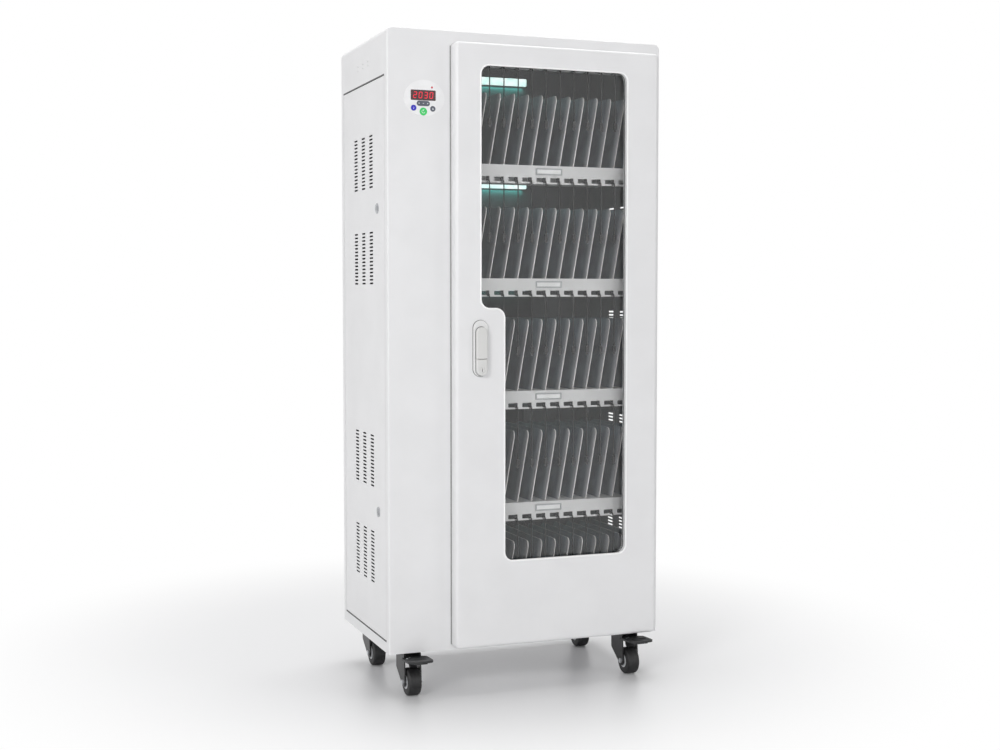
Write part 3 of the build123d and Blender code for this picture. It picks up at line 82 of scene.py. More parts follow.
# Nodes and colours

def hexColour(code):
    # sRGB hex to the linear numbers that shaders use
    parts = [int(code[i:i + 2], 16) / 255.0 for i in (1, 3, 5)]
    linear = [c / 12.92 if c <= 0.04045 else ((c + 0.055) / 1.055) ** 2.4 for c in parts]
    return (*linear, 1.0)


def addNode(tree, kind, settings={}, links={}):
    # one node with its settings, and what feeds its inputs: by name, or by number where a name repeats,
    # as with 6 and 7, the two colours of a mix
    node = tree.nodes.new("ShaderNode" + kind)
    for name, value in settings.items():
        if name == "stops":
            elements = node.color_ramp.elements
            for index, (place, code) in enumerate(value):
                element = elements[index] if index < 2 else elements.new(place)
                element.position = place
                element.color = hexColour(code)
        elif isinstance(name, int) or name in node.inputs:
            node.inputs[name].default_value = value
        else:
            setattr(node, name, value)
    for name, source in links.items():
        if isinstance(source, bpy.types.Node):
            source = [output for output in source.outputs if output.enabled][0]
        tree.links.new(source, node.inputs[name])
    return node


def newFinish(name, roughness=0.5, metallic=0.0):
    finish = bpy.data.materials.new(name)
    finish.use_nodes = True
    tree = finish.node_tree
    tree.nodes.clear()
    shader = addNode(tree, "BsdfPrincipled", {"Roughness": roughness, "Metallic": metallic})
    addNode(tree, "OutputMaterial", links={"Surface": shader})
    return finish, tree, shader, addNode(tree, "TexCoord").outputs["Object"]


# Finishes

def cloudyColour(tree, place, stops, patchMm, detail):
    # near tones of one colour in soft patches, so that no face looks flat
    patches = addNode(tree, "TexNoise", {"Scale": 1.0 / (patchMm * mm), "Detail": detail}, {"Vector": place})
    return addNode(tree, "ValToRGB", {"stops": stops}, {"Fac": patches})


def addGrain(tree, shader, place, grainMm, depthMm, strength, detail=2.0):
    # a fine grain in the surface that softens what it reflects
    grain = addNode(tree, "TexNoise", {"Scale": 1.0 / (grainMm * mm), "Detail": detail}, {"Vector": place})
    bump = addNode(tree, "Bump", {"Strength": strength, "Distance": depthMm * mm}, {"Height": grain})
    tree.links.new(bump.outputs[0], shader.inputs["Normal"])
    return grain


def varyRoughness(tree, shader, pattern, smooth, rough, low=0.3, high=0.7):
    # smoother where the pattern is low, rougher where it is high
    spread = {"From Min": low, "From Max": high, "To Min": smooth, "To Max": rough}
    roughness = addNode(tree, "MapRange", spread, {"Value": pattern})
    tree.links.new(roughness.outputs[0], shader.inputs["Roughness"])


coat = {
    "peelMm": 1.6,         # orange peel, drawn twice as coarse as life so that it shows
    "peelDepthMm": 0.02,
    "peelStrength": 0.3,
    "mottleMm": 90.0,
    "smooth": 0.33,
    "rough": 0.43,
}


def sprayCoat(tree, shader, place, pale, dark):
    # baked powder: an even skin with a faint orange peel that softens reflections
    size, depth, strength = coat["peelMm"], coat["peelDepthMm"], coat["peelStrength"]
    peel = addGrain(tree, shader, place, size, depth, strength, detail=1.0)
    varyRoughness(tree, shader, peel, coat["smooth"], coat["rough"])
    return cloudyColour(tree, place, [(0.35, dark), (0.65, pale)], coat["mottleMm"], detail=3.0)


def powderCoat(name, pale, dark):
    # powder coat on folded steel: even and slightly satin
    finish, tree, shader, place = newFinish(name)
    colour = sprayCoat(tree, shader, place, pale, dark)
    tree.links.new(colour.outputs[0], shader.inputs["Base Color"])
    return finish


def insideWalls(tree, axes):
    # one on the faces inside the folded walls: within the skin with its rounded upper corners, behind the
    # front's edge, above the underside and before the back's outer face
    corner = cabinet["cornerRadius"] * mm
    skin = cabinet["skin"] / 2.0 * mm
    half = cabinet["width"] / 2.0 * mm - corner
    roof = (cabinet["bottom"] + cabinet["height"]) * mm - corner
    aside = addNode(tree, "Math", {"operation": "ABSOLUTE"}, {0: axes.outputs[0]})
    beyond = addNode(tree, "Math", {"operation": "SUBTRACT", 1: half}, {0: aside})
    sideways = addNode(tree, "Math", {"operation": "MAXIMUM", 1: 0.0}, {0: beyond})
    above = addNode(tree, "Math", {"operation": "SUBTRACT", 1: roof}, {0: axes.outputs[2]})
    upward = addNode(tree, "Math", {"operation": "MAXIMUM", 1: 0.0}, {0: above})
    joined = addNode(tree, "CombineXYZ", links={"X": sideways, "Z": upward})
    reach = addNode(tree, "VectorMath", {"operation": "LENGTH"}, {0: joined}).outputs["Value"]
    inside = addNode(tree, "Math", {"operation": "LESS_THAN", 1: corner - skin}, {0: reach})
    limits = [
        ("GREATER_THAN", (cabinet["front"] + cabinet["edgeRadius"]) * mm, axes.outputs[1]),
        ("GREATER_THAN", cabinet["bottom"] * mm + skin, axes.outputs[2]),
        ("LESS_THAN", (cabinet["front"] + cabinet["depth"]) * mm - skin, axes.outputs[1]),
    ]
    for operation, limit, axis in limits:
        mask = addNode(tree, "Math", {"operation": operation, 1: limit}, {0: axis})
        inside = addNode(tree, "Math", {"operation": "MULTIPLY"}, {0: inside, 1: mask})
    return inside


gapShadeStrips = {   # painted shade: near-black strips on the lips of the service door's upper and lower gap, from front to back
    "heights": (25.95, 1297.25), "front": 20.0, "back": 373.0, "half": 1.9, "deep": 3.0,
}


def gapLips(tree, axes):
    # one on both lips of each gap, where the shade line is painted
    lips = []
    for height in gapShadeStrips["heights"]:
        level = {"operation": "COMPARE", 1: (cabinet["bottom"] + height) * mm, 2: gapShadeStrips["half"] * mm}
        lips.append(addNode(tree, "Math", level, {0: axes.outputs[2]}))
    either = addNode(tree, "Math", {"operation": "MAXIMUM"}, {0: lips[0], 1: lips[1]})
    middle = cabinet["front"] + (gapShadeStrips["front"] + gapShadeStrips["back"]) / 2.0
    span = {"operation": "COMPARE", 1: middle * mm, 2: (gapShadeStrips["back"] - gapShadeStrips["front"]) / 2.0 * mm}
    along = addNode(tree, "Math", span, {0: axes.outputs[1]})
    left = {"operation": "LESS_THAN", 1: (cabinet["left"] + gapShadeStrips["deep"]) * mm}
    outer = addNode(tree, "Math", left, {0: axes.outputs[0]})
    strip = addNode(tree, "Math", {"operation": "MULTIPLY"}, {0: either, 1: along})
    return addNode(tree, "Math", {"operation": "MULTIPLY"}, {0: strip, 1: outer})


def shellCoat(name, pale, dark, inside, gapShadeColour):
    # the same coat outside, dark grey inside the folded walls as painted shade that keeps the bays dim, and
    # near-black painted shade that draws a dark line above and below the service door
    finish, tree, shader, place = newFinish(name)
    colour = sprayCoat(tree, shader, place, pale, dark)
    axes = addNode(tree, "SeparateXYZ", links={"Vector": place})
    # painted shade: dark grey on the faces inside the folded walls
    insideShade = {"data_type": "RGBA", 7: hexColour(inside)}
    shadedInside = addNode(tree, "Mix", insideShade, {0: insideWalls(tree, axes), 6: colour})
    # painted shade: near-black on the lips of the service door's gaps
    gapShadeMix = {"data_type": "RGBA", 7: hexColour(gapShadeColour)}
    gapShaded = addNode(tree, "Mix", gapShadeMix, {0: gapLips(tree, axes), 6: shadedInside.outputs[2]})
    tree.links.new(gapShaded.outputs[2], shader.inputs["Base Color"])
    return finish


seat = {   # the groove round the lever, a long oval
    "x": 206.4, "low": 628.0, "high": 737.5, "half": 12.5, "groove": 1.35, "face": -40.0,
    "shadeFrom": 0.3,   # painted shade begins this far behind the face
}


def groovedSeat(name, pale, dark, shadow):
    # powder coat, with painted shade in the bottom of the groove that the lever lies in
    finish, tree, shader, place = newFinish(name)
    colour = sprayCoat(tree, shader, place, pale, dark)
    middle = at(seat["x"], 0.0, (seat["low"] + seat["high"]) / 2.0)
    straight = ((seat["high"] - seat["low"]) / 2.0 - seat["half"]) * mm
    axes = addNode(tree, "SeparateXYZ", links={"Vector": place})
    aside = addNode(tree, "Math", {"operation": "SUBTRACT", 1: middle.x}, {0: axes.outputs[0]})
    rise = addNode(tree, "Math", {"operation": "SUBTRACT", 1: middle.z}, {0: axes.outputs[2]})
    far = addNode(tree, "Math", {"operation": "ABSOLUTE"}, {0: rise})
    beyond = addNode(tree, "Math", {"operation": "SUBTRACT", 1: straight}, {0: far})
    upward = addNode(tree, "Math", {"operation": "MAXIMUM", 1: 0.0}, {0: beyond})
    joined = addNode(tree, "CombineXYZ", links={"X": aside, "Z": upward})
    reach = addNode(tree, "VectorMath", {"operation": "LENGTH"}, {0: joined}).outputs["Value"]
    edge = {"operation": "LESS_THAN", 1: (seat["half"] + seat["groove"]) * mm}
    within = addNode(tree, "Math", edge, {0: reach})
    depth = {"operation": "GREATER_THAN", 1: (cabinet["front"] + seat["face"] + seat["shadeFrom"]) * mm}
    deeper = addNode(tree, "Math", depth, {0: axes.outputs[1]})
    both = addNode(tree, "Math", {"operation": "MULTIPLY"}, {0: within, 1: deeper})
    # the shadow colour paints shade into the groove's bottom
    mixed = addNode(tree, "Mix", {"data_type": "RGBA", 7: hexColour(shadow)}, {0: both, 6: colour})
    tree.links.new(mixed.outputs[2], shader.inputs["Base Color"])
    return finish


def mouldedPlastic(name, light, deep, roughness=0.42, grainMm=0.8, lacquer=0.0):
    # injection-moulded plastic: spark-eroded grain, drawn coarser than life, and a soft sheen
    finish, tree, shader, place = newFinish(name, roughness=roughness)
    colour = cloudyColour(tree, place, [(0.3, deep), (0.7, light)], patchMm=25.0, detail=2.0)
    tree.links.new(colour.outputs[0], shader.inputs["Base Color"])
    shader.inputs["Coat Weight"].default_value = lacquer
    shader.inputs["Coat Roughness"].default_value = 0.12
    addGrain(tree, shader, place, grainMm, depthMm=0.03, strength=0.35)
    return finish


def vulcanisedRubber(name, clean, dusty, roughness=0.72):
    # rubber, soft vinyl or foam: matte, and a little paler where dust settles
    finish, tree, shader, place = newFinish(name, roughness=roughness)
    colour = cloudyColour(tree, place, [(0.45, clean), (0.8, dusty)], patchMm=9.0, detail=4.0)
    tree.links.new(colour.outputs[0], shader.inputs["Base Color"])
    addGrain(tree, shader, place, grainMm=0.9, depthMm=0.05, strength=0.5)
    return finish


def platedSteel(name, bright, dull, smooth, rough):
    # plated or anodised metal: bright, with cloudy patches and fine upright lines from drawing
    finish, tree, shader, place = newFinish(name, roughness=smooth, metallic=1.0)
    colour = cloudyColour(tree, place, [(0.3, dull), (0.7, bright)], patchMm=14.0, detail=3.0)
    tree.links.new(colour.outputs[0], shader.inputs["Base Color"])
    along = addNode(tree, "Mapping", {"Scale": (1.0, 1.0, 0.06)}, {"Vector": place})   # drawn out upwards
    lines = addGrain(tree, shader, along, grainMm=1.2, depthMm=0.02, strength=0.25, detail=3.0)
    varyRoughness(tree, shader, lines, smooth, rough)
    return finish


pane = {
    "tint": "#fdfefe", "index": 1.45, "smearMm": 120.0, "smearRough": 0.03,
    "glare": 0.12,   # a thin coat takes off most of the glare
}


def floatGlass(name):
    # toughened float glass: clear, with the faintest smear left by hands
    finish, tree, shader, place = newFinish(name, roughness=0.0)
    patches = {"Scale": 1.0 / (pane["smearMm"] * mm), "Detail": 4.0}
    smear = addNode(tree, "TexNoise", patches, {"Vector": place})
    varyRoughness(tree, shader, smear, 0.0, pane["smearRough"], low=0.45, high=0.75)
    shader.inputs["Base Color"].default_value = hexColour(pane["tint"])
    shader.inputs["Transmission Weight"].default_value = 1.0
    shader.inputs["IOR"].default_value = pane["index"]
    shader.inputs["Specular IOR Level"].default_value = pane["glare"]
    return finish


paintedLightFront = {"from": 36.0, "to": 62.0}   # how far behind the front face the dividers are painted paler, as painted light


def edgedDivider(name, face, shade, frontLitColour, edge):
    # polypropylene sheet: dull grey faces, painted light that makes them paler toward the front, and edges
    # painted pale as a highlight
    finish, tree, shader, place = newFinish(name, roughness=0.42)
    colour = cloudyColour(tree, place, [(0.35, shade), (0.7, face)], patchMm=40.0, detail=3.0)
    axes = addNode(tree, "SeparateXYZ", links={"Vector": place})
    reach = {
        "From Min": (cabinet["front"] + paintedLightFront["from"]) * mm, "To Min": 1.0,
        "From Max": (cabinet["front"] + paintedLightFront["to"]) * mm, "To Max": 0.0,
    }
    frontLitShare = addNode(tree, "MapRange", reach, {"Value": axes.outputs[1]})
    # painted light: the fronts of the dividers paler than their depths
    paler = addNode(tree, "Mix", {"data_type": "RGBA", 7: hexColour(frontLitColour)}, {0: frontLitShare, 6: colour})
    facing = addNode(tree, "SeparateXYZ", links={"Vector": addNode(tree, "NewGeometry").outputs["Normal"]})
    aside = addNode(tree, "Math", {"operation": "ABSOLUTE"}, {0: facing.outputs[0]})
    edgeHighlight = addNode(tree, "Math", {"operation": "LESS_THAN", 1: 0.5}, {0: aside})   # all but the broad faces, painted pale as a highlight
    # painted highlight: pale colour on every edge
    mixed = addNode(tree, "Mix", {"data_type": "RGBA", 7: hexColour(edge)}, {0: edgeHighlight, 6: paler.outputs[2]})
    tree.links.new(mixed.outputs[2], shader.inputs["Base Color"])
    addGrain(tree, shader, place, grainMm=0.9, depthMm=0.03, strength=0.35)
    return finish


caster = {
    "acrossMm": 274.0, "axleYMm": 146.0, "axleZMm": 31.5,   # axles lie alike on either side of the middle
    "hubMm": 16.2, "nutMm": 8.0, "legMm": 20.7,
}


def casterFinish(name, clean, dusty, other, within, outside, metallic, roughness):
    # one finish with a disc of another round each axle: a pale nylon hub, or a bright axle nut
    finish, tree, shader, place = newFinish(name, roughness=roughness)
    colour = cloudyColour(tree, place, [(0.4, clean), (0.85, dusty)], patchMm=8.0, detail=4.0)
    axes = addNode(tree, "SeparateXYZ", links={"Vector": place})
    far = addNode(tree, "Math", {"operation": "ABSOLUTE"}, {0: axes.outputs[1]})
    along = addNode(tree, "Math", {"operation": "SUBTRACT", 1: caster["axleYMm"] * mm}, {0: far})
    rise = addNode(tree, "Math", {"operation": "SUBTRACT", 1: caster["axleZMm"] * mm}, {0: axes.outputs[2]})
    joined = addNode(tree, "CombineXYZ", links={"Y": along, "Z": rise})
    reach = addNode(tree, "VectorMath", {"operation": "LENGTH"}, {0: joined}).outputs["Value"]
    disc = addNode(tree, "Math", {"operation": "LESS_THAN", 1: within * mm}, {0: reach})
    side = addNode(tree, "Math", {"operation": "ABSOLUTE"}, {0: axes.outputs[0]})
    offset = addNode(tree, "Math", {"operation": "SUBTRACT", 1: caster["acrossMm"] * mm}, {0: side})
    apart = addNode(tree, "Math", {"operation": "ABSOLUTE"}, {0: offset})
    outer = addNode(tree, "Math", {"operation": "GREATER_THAN", 1: outside * mm}, {0: apart})
    both = addNode(tree, "Math", {"operation": "MULTIPLY"}, {0: disc, 1: outer})
    mixed = addNode(tree, "Mix", {"data_type": "RGBA", 7: hexColour(other)}, {0: both, 6: colour})
    tree.links.new(mixed.outputs[2], shader.inputs["Base Color"])
    if metallic:
        tree.links.new(both.outputs[0], shader.inputs["Metallic"])
    addGrain(tree, shader, place, grainMm=1.0, depthMm=0.05, strength=0.45)
    return finish


def litPlastic(name, bright, dim, surface, strength, patchMm=6.0):
    # plastic lit from behind: its diodes show as soft brighter patches
    finish, tree, shader, place = newFinish(name, roughness=0.3)
    colour = cloudyColour(tree, place, [(0.3, dim), (0.65, bright)], patchMm, detail=2.0)
    tree.links.new(colour.outputs[0], shader.inputs["Emission Color"])
    shader.inputs["Base Color"].default_value = hexColour(surface)
    shader.inputs["Emission Strength"].default_value = strength
    return finish


finishes = {
    "bodyCoat": powderCoat("powderCoatOffWhite", "#e9e9ea", "#e6e6e7"),
    # painted shade: dark grey inside the walls and near-black on the service door's gap lips
    "shellCoat": shellCoat("powderCoatShell", "#e9e9ea", "#e6e6e7", "#6c6e70", "#262728"),
    # painted shade: dark grey on the partition wall inside the bays
    "innerCoat": powderCoat("paintedShadeGrey", "#444648", "#3d3f40"),
    "shelfCoat": powderCoat("powderCoatShelfGrey", "#e0dfdf", "#d9d8d8"),
    "handleCoat": powderCoat("powderCoatLeverGrey", "#dcdcdb", "#d4d4d2"),
    # painted shade in the bottom of the lever's groove
    "handleSeat": groovedSeat("powderCoatSeatWhite", "#e8e8e8", "#e3e3e3", "#4a4a48"),
    # painted light paler toward the front, and painted highlight on the edges
    "divider": edgedDivider("polypropyleneDivider", "#79858f", "#626b74", "#c6c5c8", "#f3efec"),
    "glass": floatGlass("floatGlassToughened"),
    "gasket": vulcanisedRubber("rubberGasket", "#242526", "#3a3b3c"),
    "grommet": vulcanisedRubber("rubberGrommet", "#202022", "#363638"),
    "lead": vulcanisedRubber("softVinylLead", "#0f1012", "#1b1d20", roughness=0.55),
    "plug": mouldedPlastic("absPlugBlack", "#141517", "#0f1011", roughness=0.45),
    "bezel": mouldedPlastic("absPanelWhite", "#f2f2f3", "#ececed", roughness=0.3, grainMm=0.9, lacquer=0.3),
    "displayLens": mouldedPlastic(
        "acrylicLensDark", "#4c0f18", "#2c0a10", roughness=0.12, grainMm=3.0, lacquer=0.8
    ),
    "keyBlue": mouldedPlastic("absKeyBlue", "#1d0fc4", "#190da8", roughness=0.3, grainMm=0.9, lacquer=0.5),
    "keyGrey": mouldedPlastic("absKeyGrey", "#5b5f6c", "#50545f", roughness=0.35, grainMm=0.9, lacquer=0.3),
    "keyGreen": litPlastic("polycarbonateKeyGreen", "#38c766", "#2fae57", "#2fae57", strength=0.35),
    "symbol": mouldedPlastic("padPrintInkWhite", "#f4f6f8", "#e8eaec", roughness=0.4),
    "digitLit": litPlastic("diodeSegmentLit", "#f02c44", "#d8263c", "#7a1420", strength=1.0),
    "digitDim": litPlastic("diodeSegmentDim", "#8a1826", "#701220", "#4a0c14", strength=0.4),
    "zinc": platedSteel("zincPlatedSteel", "#c3c5c8", "#96989b", smooth=0.22, rough=0.38),
    "lampCase": platedSteel("anodisedLampCase", "#5c5f62", "#484a4d", smooth=0.32, rough=0.48),
    "blackPlastic": mouldedPlastic("glassFilledNylonBlack", "#1e1f21", "#171819", roughness=0.45),
    "darkEnamel": powderCoat("powderCoatSatinBlack", "#1e1e20", "#18181a"),
    "wheel": casterFinish(
        "rubberTreadNylonHub", "#121213", "#29292a", "#c9cbcd",
        within=caster["hubMm"], outside=0.0, metallic=False, roughness=0.55,
    ),
    "fork": casterFinish(
        "pressedSteelForkBlack", "#101011", "#222224", "#cfd1d4",
        within=caster["nutMm"], outside=caster["legMm"], metallic=True, roughness=0.34,
    ),
    # painted shadow line in the gap beside the door
    "doorGapShade": vulcanisedRubber("paintedGapShadeGrey", "#9c9c9c", "#a8a8a8"),
    "foam": vulcanisedRubber("openFoamFilter", "#232425", "#303133", roughness=0.95),
    # painted highlight round the window
    "windowHighlight": mouldedPlastic(
        "paintedHighlightWhite", "#ffffff", "#fafafa", roughness=0.35, grainMm=1.0, lacquer=0.2
    ),
    "cardHolder": mouldedPlastic("absCardHolder", "#b9babc", "#adaeb0", roughness=0.35),
    "card": mouldedPlastic("cardPaperWhite", "#f7f7f7", "#efefee", roughness=0.7, grainMm=1.2),
    "lamp": litPlastic("opalAcrylicLamp", "#f4fffd", "#c6f6ee", "#e8f6f4", strength=1.0, patchMm=9.0),
    "diodeRed": litPlastic("diodeRed", "#d01634", "#b41030", "#980e24", strength=0.3),
    "diodeGreen": litPlastic("diodeGreen", "#4dff8a", "#36e070", "#1c7a3c", strength=2.0),
}
print("finishes made:", len(finishes))


# Charging leads, one from each keyhole slot of the comb strips

leads = {
    "bays": 5, "bayPitch": 260.5, "lowestFloor": 66.0, "stripFront": 20.0,
    "slots": 12, "pitch": 34.85, "firstRight": 212.4,   # where the first slot has its right side
    "inset": 3.4, "drop": 33.0,         # the sleeve's middle from that side and from the floor above it
    "diameter": 3.0, "length": 128.0,   # every lead is equally long
    "declaredBays": 3,                  # from the top, a count of bays
    "route": [   # millimetres from the middle of the slot's sleeve
        (0.0, 3.3, 0.0), (0.0, -5.1, 0.0), (0.3, -11.0, -6.0), (0.9, -11.3, -20.0),
        (1.3, -10.2, -44.0), (0.7, -10.8, -82.0), (1.3, -10.2, -119.5),
    ],
}


def bayFloor(bay):
    return leads["lowestFloor"] + (leads["bays"] - bay) * leads["bayPitch"]


def makeLead(bay, slot):
    x = leads["firstRight"] + slot * leads["pitch"] - leads["inset"]
    z = bayFloor(bay - 1) - leads["drop"]
    points = [at(x + dx, leads["stripFront"] + dy, z + dz) for dx, dy, dz in leads["route"]]
    curve = bpy.data.curves.new("lead_%d_%02d" % (bay, slot + 1), "CURVE")
    curve.dimensions = "3D"
    curve.bevel_depth = leads["diameter"] / 2.0 * mm
    curve.bevel_resolution = 2
    curve.resolution_u = 4
    curve.use_fill_caps = True
    spline = curve.splines.new("NURBS")
    spline.points.add(len(points) - 1)
    for target, point in zip(spline.points, points):
        target.co = (*point, 1.0)
    spline.order_u = 3
    spline.use_endpoint_u = True
    lead = newObject(curve.name, curve)
    curve.materials.append(finishes["lead"])
    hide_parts("charging_cords")
    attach(lead, "cabinet")


for bay in range(1, leads["bays"] + 1):
    for slot in range(leads["slots"]):
        makeLead(bay, slot)
print("leads hung")


# Finishes on the CAD nodes

corners = ("front_left", "front_right", "back_left", "back_right")
nodeFinishes = {
    "shellCoat": ["cabinet_shell", "front_frame", "service_door", "back_panel"],
    "bodyCoat": ["base_pan", "door_skin", "door_liner", "door_hinge_leaves", "door_hinge_pins"],
    "innerCoat": ["partition_wall"],
    "shelfCoat": ["shelf_1", "shelf_2", "shelf_3", "shelf_4", "shelf_5", "top_comb"],
    "divider": ["slot_dividers"],
    "grommet": ["cable_grommets"],
    "plug": ["charging_plugs"],
    "cardHolder": ["label_holders"],
    "lampCase": ["light_housings"],
    "lamp": ["light_diffusers"],
    "blackPlastic": [
        "charger_modules", "control_box", "power_inlet", "power_switch", "fan_housings",
        "fan_rotor_upper", "fan_rotor_lower", "brake_pedal_left", "brake_pedal_right",
    ],
    "bezel": ["panel_bezel"],
    "displayLens": ["display_window"],
    "keyBlue": ["light_key"],
    "keyGrey": ["lock_key", "rocker_key"],
    "keyGreen": ["power_key"],
    "zinc": [
        "fan_guards", "handle_spindle", "latch_rod_upper", "latch_rod_lower", "service_hinge_pins",
        "service_lock_barrels", "service_lock_upper", "service_lock_lower",
    ],
    "glass": ["door_glass"],
    "gasket": ["glass_gasket"],
    "handleSeat": ["handle_plate"],
    "handleCoat": ["handle_lever", "lock_button"],
    "darkEnamel": ["caster_plates"],
    "fork": ["caster_fork_" + corner for corner in corners],
    "wheel": ["caster_wheel_" + corner for corner in corners],
}
for finish, names in nodeFinishes.items():
    for name in names:
        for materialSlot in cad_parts[name].material_slots:
            materialSlot.material = finishes[finish]
print("CAD nodes finished")


# Making pieces

making = {
    "bevelSegments": 2, "smoothDegrees": 35.0, "domeSides": 16, "domeRings": 8,
    "beadSides": 6, "beadSteps": 28, "beadFlat": 0.4, "weldMm": 0.02,
    "middleMm": 0.1,   # a vertex that is farther than this from the middle lies to one side of it
}


def deselectAll():
    bpy.ops.object.select_all(action="DESELECT")


def selectOnly(pieces):
    # these and nothing else, the first of them active
    deselectAll()
    for piece in pieces:
        piece.select_set(True)
    bpy.context.view_layer.objects.active = pieces[0]


def named(name):
    piece = bpy.context.object
    piece.name = name
    piece.data.name = name
    return piece


def bevelEdges(piece, widthMm):
    modifier = piece.modifiers.new("edge", "BEVEL")
    modifier.width = widthMm * mm
    modifier.segments = making["bevelSegments"]
    modifier.limit_method = "ANGLE"
    bpy.context.view_layer.objects.active = piece
    bpy.ops.object.modifier_apply(modifier="edge")


def addPlate(name, centre, size, edgeMm):
    # a thin plate with its edges eased
    deselectAll()
    bpy.ops.mesh.primitive_cube_add(size=1.0, location=centre)
    plate = named(name)
    plate.scale = [value * mm for value in size]
    bpy.ops.object.transform_apply(location=False, rotation=False, scale=True)
    bevelEdges(plate, edgeMm)
    return plate


def addDome(name, radiusMm, riseMm):
    # a low domed head that stands on the origin and faces up
    deselectAll()
    bpy.ops.mesh.primitive_uv_sphere_add(
        segments=making["domeSides"], ring_count=making["domeRings"], radius=radiusMm * mm
    )
    dome = named(name)
    bpy.ops.object.mode_set(mode="EDIT")
    bpy.ops.mesh.select_all(action="SELECT")
    bpy.ops.mesh.bisect(plane_co=(0.0, 0.0, 0.0), plane_no=(0.0, 0.0, 1.0), clear_inner=True, use_fill=True)
    bpy.ops.object.mode_set(mode="OBJECT")
    dome.scale = (1.0, 1.0, riseMm / radiusMm)
    bpy.ops.object.transform_apply(location=False, rotation=False, scale=True)
    return dome


def addRing(name, centre, radiusMm, wireMm, sweepDegrees):
    # a bead spun about the Y axis, from one side of the gap at the top round to the other
    start = math.radians((360.0 - sweepDegrees) / 2.0)
    place = Vector((math.sin(start), 0.0, math.cos(start))) * radiusMm * mm
    deselectAll()
    bpy.ops.mesh.primitive_circle_add(
        vertices=making["beadSides"], radius=wireMm * mm, fill_type="NGON", location=place,
        rotation=(0.0, start + math.pi / 2.0, 0.0),
    )
    ring = named(name)
    bpy.ops.object.transform_apply(location=True, rotation=True, scale=True)
    bpy.ops.object.mode_set(mode="EDIT")
    bpy.ops.mesh.select_all(action="SELECT")
    bpy.ops.mesh.spin(
        steps=making["beadSteps"], angle=math.radians(sweepDegrees),
        center=(0.0, 0.0, 0.0), axis=(0.0, 1.0, 0.0),
    )
    bpy.ops.mesh.select_all(action="SELECT")
    bpy.ops.mesh.remove_doubles(threshold=making["weldMm"] * mm)
    bpy.ops.mesh.select_all(action="SELECT")
    bpy.ops.mesh.normals_make_consistent(inside=False)
    bpy.ops.object.mode_set(mode="OBJECT")
    ring.data.transform(Matrix.Translation(centre) @ Matrix.Diagonal((1.0, making["beadFlat"], 1.0, 1.0)))
    return ring


def copyTo(piece, matrix):
    # another of the same, with a mesh of its own
    twin = piece.copy()
    twin.data = piece.data.copy()
    twin.data.transform(matrix)
    bpy.context.scene.collection.objects.link(twin)
    return twin


def joinAll(name, parts):
    selectOnly(parts)
    bpy.ops.object.join()
    return named(name)


def settle(piece, finish, body):
    # place goes into the mesh, then the piece rides on its body
    selectOnly([piece])
    bpy.ops.object.transform_apply(location=True, rotation=True, scale=True)
    bpy.ops.object.shade_smooth_by_angle(angle=math.radians(making["smoothDegrees"]))
    piece.data.materials.clear()
    piece.data.materials.append(finishes[finish])
    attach(piece, body)


# Display

display = {
    "reading": "2030", "height": 14.5, "width": 8.4, "stroke": 1.7, "pitch": 12.6, "slant": 0.1,
    "firstX": 65.2, "middleZ": 1253.2, "face": -1.3, "thick": 0.25,
    "share": 0.96,   # of its stretch that a bar fills, which leaves a gap at each joint
    "bars": {"0": "abcdef", "2": "abged", "3": "abgcd"},
}


def makeBar(length):
    # a six-sided bar with pointed ends, lying along X
    deselectAll()
    bpy.ops.mesh.primitive_cylinder_add(
        vertices=6, radius=display["stroke"] / math.sqrt(3.0) * mm, depth=display["thick"] * mm,
        rotation=(math.pi / 2.0, 0.0, 0.0),
    )
    bar = named("display_bar")
    bpy.ops.object.transform_apply(location=False, rotation=True, scale=False)
    tip = max(bar.data.vertices, key=lambda vertex: vertex.co.x).co
    if abs(tip.z) > making["middleMm"] * mm:   # the points belong at the ends, not above and below
        bar.data.transform(Matrix.Rotation(math.pi / 6.0, 4, "Y"))
    for side in (-1.0, 1.0):
        for vertex in bar.data.vertices:
            vertex.select = vertex.co.x * side > making["middleMm"] * mm
        for element in [*bar.data.edges, *bar.data.polygons]:
            element.select = all(bar.data.vertices[index].select for index in element.vertices)
        bpy.ops.object.mode_set(mode="EDIT")
        shift = (length - display["stroke"]) / 2.0 * side * mm
        bpy.ops.transform.translate(value=(shift, 0.0, 0.0))
        bpy.ops.object.mode_set(mode="OBJECT")
    return bar


def makeDisplay():
    width = display["width"] - display["stroke"]
    rise = (display["height"] - display["stroke"]) / 2.0
    places = {   # a figure's seven bars, and whether they stand upright
        "a": (0.0, rise, False), "g": (0.0, 0.0, False), "d": (0.0, -rise, False),
        "f": (-width / 2.0, rise / 2.0, True), "b": (width / 2.0, rise / 2.0, True),
        "e": (-width / 2.0, -rise / 2.0, True), "c": (width / 2.0, -rise / 2.0, True),
    }
    bar = makeBar(rise * display["share"])
    lean = Matrix.Identity(4)
    lean[0][2] = display["slant"]
    lit, dim = [], []
    for index, figure in enumerate(display["reading"]):
        middle = at(display["firstX"] + index * display["pitch"], display["face"], display["middleZ"])
        for letter, (x, z, upright) in places.items():
            turn = Matrix.Rotation(math.pi / 2.0 if upright else 0.0, 4, "Y")
            spot = Matrix.Translation(Vector((x * mm, 0.0, z * mm)))
            matrix = Matrix.Translation(middle) @ lean @ spot @ turn
            (lit if letter in display["bars"][figure] else dim).append(copyTo(bar, matrix))
    bpy.data.objects.remove(bar)
    settle(joinAll("display_segments_lit", lit), "digitLit", "cabinet")
    settle(joinAll("display_segments_dim", dim), "digitDim", "cabinet")


makeDisplay()
print("display set")


# Symbols on the keys

